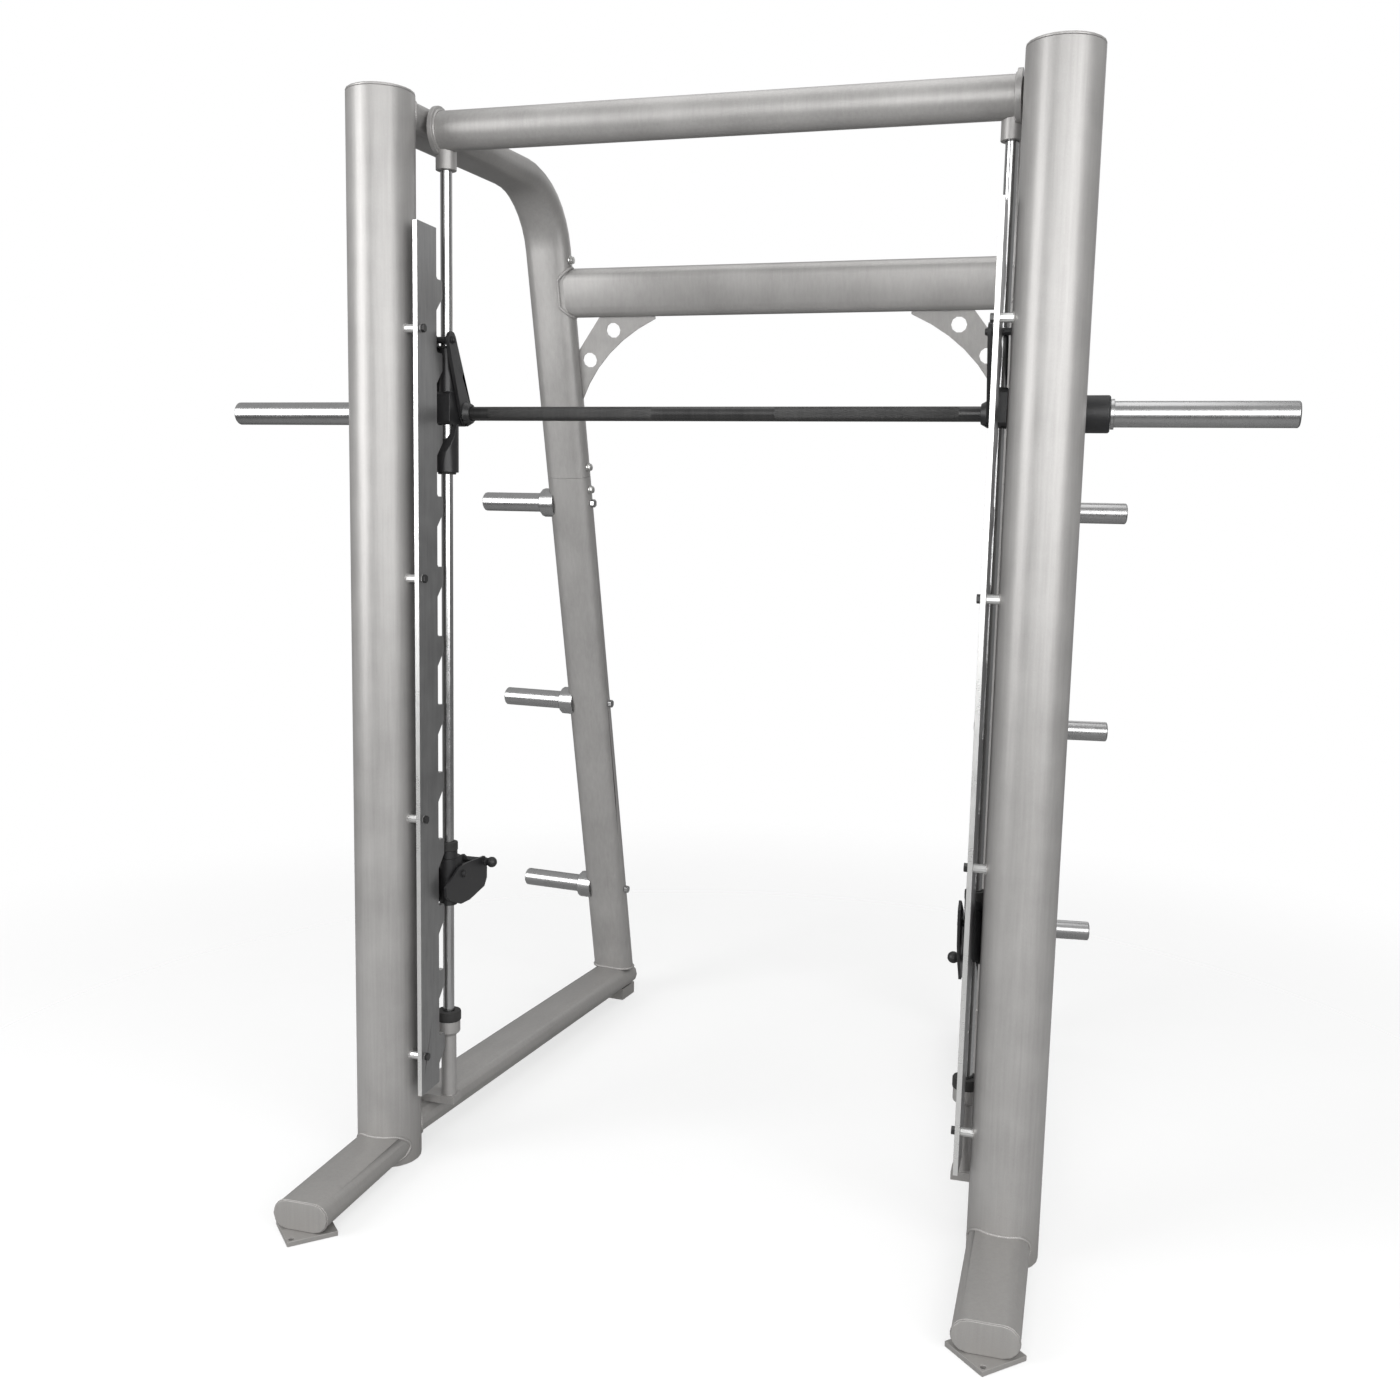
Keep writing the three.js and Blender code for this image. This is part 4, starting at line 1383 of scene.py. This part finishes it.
@dataclass
class SafetyStops:
    """The safety stops with their rubber rings, levers, pivot nuts and knobs."""

    finishes: Finishes
    shading: Shading
    pivot_y: float = -0.262
    pivot_z: float = 0.628
    reach: float = 0.116
    right_angle: float = math.radians(-55)
    knob_radius: float = 0.0125
    neck_stand: float = 0.004
    nut_stand: float = 0.0035

    def knob(self, centre: Point, way: int) -> Shell:
        """A ball knob on a short neck, turned round the handle's line.

        Args:
            centre: where the neck starts on the handle's end.
            way: 1 to face +X, -1 to face -X.

        Returns:
            The knob.
        """
        turn = np.linspace(-0.62, 0.5, 12) * math.pi
        ball = [(self.knob_radius * math.cos(t), self.knob_radius * (math.sin(t) + 0.5)) for t in turn]
        neck = [(0.0093, -0.010), (0.0093, -0.007), (0.0082, -0.006)]
        return turned(neck + [p for p in ball if p[1] > -0.0055 and p[0] > 0.0005], centre, (way, 0, 0), 40)

    def knobs(self, side: Side) -> Shell:
        """The knobs on both ends of a lever's handle.

        Args:
            side: the side of the machine.

        Returns:
            Both knobs as one shell.
        """
        tag = side.tag
        low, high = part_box(f"stop_lever_{tag}")
        angle = self.right_angle if side is Side.RIGHT else 0.0
        y = self.pivot_y + self.reach * math.cos(angle)
        z = self.pivot_z + self.reach * math.sin(angle)
        first = self.knob((low.x + self.neck_stand, y, z), -1)
        return first.joined(self.knob((high.x - self.neck_stand, y, z), 1))

    def pivot_nuts(self, side: Side) -> Shell:
        """The nuts on both ends of a stop's lever stud.

        Args:
            side: the side of the machine.

        Returns:
            Both nuts as one shell.
        """
        tag = side.tag
        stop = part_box(f"stop_{tag}")
        low, high = stop
        nut = HexBolt(flat=0.0066, head=0.0035, washer=0.0092)
        first = nut.shell((low.x + self.nut_stand, self.pivot_y, self.pivot_z), (-1, 0, 0))
        return first.joined(nut.shell((high.x - self.nut_stand, self.pivot_y, self.pivot_z), (1, 0, 0)))

    def build(self) -> None:
        """Dresses the stops and levers and builds knobs and pivot nuts."""
        cast = self.finishes.cast
        for side in Side:
            tag = side.tag
            self.shading.dress(f"stop_{tag}", self.finishes.black, 0.0009)
            self.shading.dress(f"stop_bumper_{tag}", self.finishes.rubber, 0.0016)
            self.shading.dress(f"stop_lever_{tag}", self.finishes.black, 0.0010)
            put(f"lever_knobs_{tag}", self.knobs(side), cast, f"lever_{tag}")
            put(f"pivot_nuts_{tag}", self.pivot_nuts(side), cast, f"stop_{tag}")


# ---- studio ----


@dataclass(frozen=True)
class Lamp:
    """A soft rectangular light: where it stands, the point it faces, its size and its power in watts."""

    name: str
    place: Point
    aim: Point
    size: tuple[float, float]
    power: float


LAMPS = (
    Lamp("key", (-3.2, -3.2, 2.3), (0.0, -0.3, 1.1), (2.2, 3.0), 125.0),
    Lamp("fill", (3.4, -3.0, 2.2), (0.0, -0.3, 1.1), (2.6, 3.0), 105.0),
    Lamp("front", (0.9, -4.4, 2.2), (0.0, -0.4, 1.2), (3.0, 2.6), 85.0),
    Lamp("top", (0.0, 0.2, 4.6), (0.0, 0.0, 0.0), (2.6, 2.6), 30.0),
    Lamp("back", (0.6, 3.8, 2.8), (0.0, 0.0, 1.2), (2.6, 2.0), 10.0),
)


@dataclass
class Studio:
    """Pale floor, soft lights, backdrop and the camera.

    The backdrop's light runs from `below` where its direction's rise is `low` to `above` at `high`.
    """

    eye: Point = (0.7767, -3.0289, 1.4400)
    yaw: float = 0.2763
    pitch: float = 0.1334
    roll: float = -0.02145
    lens: float = 35.41
    sensor: float = 36.0
    floor_radius: float = 4.0
    floor_height: float = -0.0005
    low: float = -0.45
    high: float = 0.8
    below: float = 0.10
    above: float = 0.50

    def floor(self) -> None:
        """Builds the floor: rings of points whose radius grows evenly."""
        rings, sides = 24, 96
        radius = np.linspace(0.02, self.floor_radius, rings)
        turn = np.arange(sides) * TAU / sides
        x, y = radius[:, None] * np.cos(turn), radius[:, None] * np.sin(turn)
        points = np.stack([x, y, np.full_like(x, self.floor_height)], -1).reshape(-1, 3)
        faces = grid_faces(rings, sides, False).tolist() + [list(range(sides))]
        mesh = bpy.data.meshes.new("floor")
        mesh.from_pydata(points.tolist(), [], faces)
        mesh.materials.append(StudioPaper().material())
        work = bmesh.new()
        work.from_mesh(mesh)
        for face in work.faces:
            if face.normal.z < 0:
                face.normal_flip()
        work.to_mesh(mesh)
        work.free()
        piece = bpy.data.objects.new("floor", mesh)
        bpy.context.scene.collection.objects.link(piece)

    def light(self, lamp: Lamp) -> None:
        """Adds one soft rectangular light.

        Args:
            lamp: where the light stands, what it faces, its size and its power.
        """
        data = bpy.data.lights.new(lamp.name, "AREA")
        data.shape, data.energy = "RECTANGLE", lamp.power
        data.size, data.size_y = lamp.size
        made = bpy.data.objects.new(lamp.name, data)
        made.location = lamp.place
        made.rotation_euler = (Vector(lamp.aim) - Vector(lamp.place)).to_track_quat("-Z", "Y").to_euler()
        bpy.context.scene.collection.objects.link(made)

    def world(self) -> None:
        """Sets a white backdrop whose light on the machine fades from above to below."""
        world = bpy.data.worlds.new("studio")
        bpy.context.scene.world = world
        world.use_nodes = True
        nodes, links = world.node_tree.nodes, world.node_tree.links
        nodes.clear()
        soft, white = nodes.new("ShaderNodeBackground"), nodes.new("ShaderNodeBackground")
        soft.inputs["Color"].default_value = (1.0, 1.0, 1.0, 1.0)
        direction, split = nodes.new("ShaderNodeTexCoord"), nodes.new("ShaderNodeSeparateXYZ")
        ramp = nodes.new("ShaderNodeMapRange")
        limits = {"From Min": self.low, "From Max": self.high, "To Min": self.below, "To Max": self.above}
        for socket, value in limits.items():
            ramp.inputs[socket].default_value = value
        links.new(direction.outputs["Generated"], split.inputs[0])
        links.new(split.outputs["Z"], ramp.inputs["Value"])
        links.new(ramp.outputs["Result"], soft.inputs["Strength"])
        white.inputs["Color"].default_value = (1.0, 1.0, 1.0, 1.0)
        white.inputs["Strength"].default_value = 1.0
        path, mix = nodes.new("ShaderNodeLightPath"), nodes.new("ShaderNodeMixShader")
        links.new(path.outputs["Is Camera Ray"], mix.inputs[0])
        links.new(soft.outputs[0], mix.inputs[1])
        links.new(white.outputs[0], mix.inputs[2])
        end = nodes.new("ShaderNodeOutputWorld")
        links.new(mix.outputs[0], end.inputs["Surface"])

    def camera(self) -> None:
        """Adds the camera, turned by yaw, pitch and roll from a level view along +Y."""
        level = Vector((math.cos(self.yaw), math.sin(self.yaw), 0.0))
        ahead = Vector((-math.sin(self.yaw), math.cos(self.yaw), 0.0))
        forward = ahead * math.cos(self.pitch) - Vector((0.0, 0.0, math.sin(self.pitch)))
        down = forward.cross(level)
        right = level * math.cos(self.roll) + down * math.sin(self.roll)
        down = down * math.cos(self.roll) - level * math.sin(self.roll)
        data = bpy.data.cameras.new("camera")
        data.lens, data.sensor_width, data.clip_end = self.lens, self.sensor, 100.0
        made = bpy.data.objects.new("camera", data)
        turn = Matrix((right, -down, -forward)).transposed().to_4x4()
        made.matrix_world = Matrix.Translation(self.eye) @ turn
        bpy.context.scene.collection.objects.link(made)
        bpy.context.scene.camera = made

    def build(self) -> None:
        """Builds floor, lights, backdrop and camera."""
        self.floor()
        self.world()
        for lamp in LAMPS:
            self.light(lamp)
        self.camera()
        bpy.context.scene.view_settings.view_transform = "Standard"


def main() -> None:
    """Builds every sub-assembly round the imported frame."""
    logging.basicConfig(level=logging.INFO, format="%(message)s")
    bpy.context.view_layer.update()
    finishes, shading = Finishes(), Shading()
    welds = Welds(finishes)
    Tubes(finishes, shading).build()
    welds.build()
    BaseCaps(finishes).build()
    Fasteners(finishes).build()
    Guides(finishes, shading).build()
    Horns(finishes, shading, welds).build()
    Bar(finishes, shading).build()
    Carriages(finishes, shading).build()
    SafetyStops(finishes, shading).build()
    Studio().build()


if __name__ == "__main__":
    main()
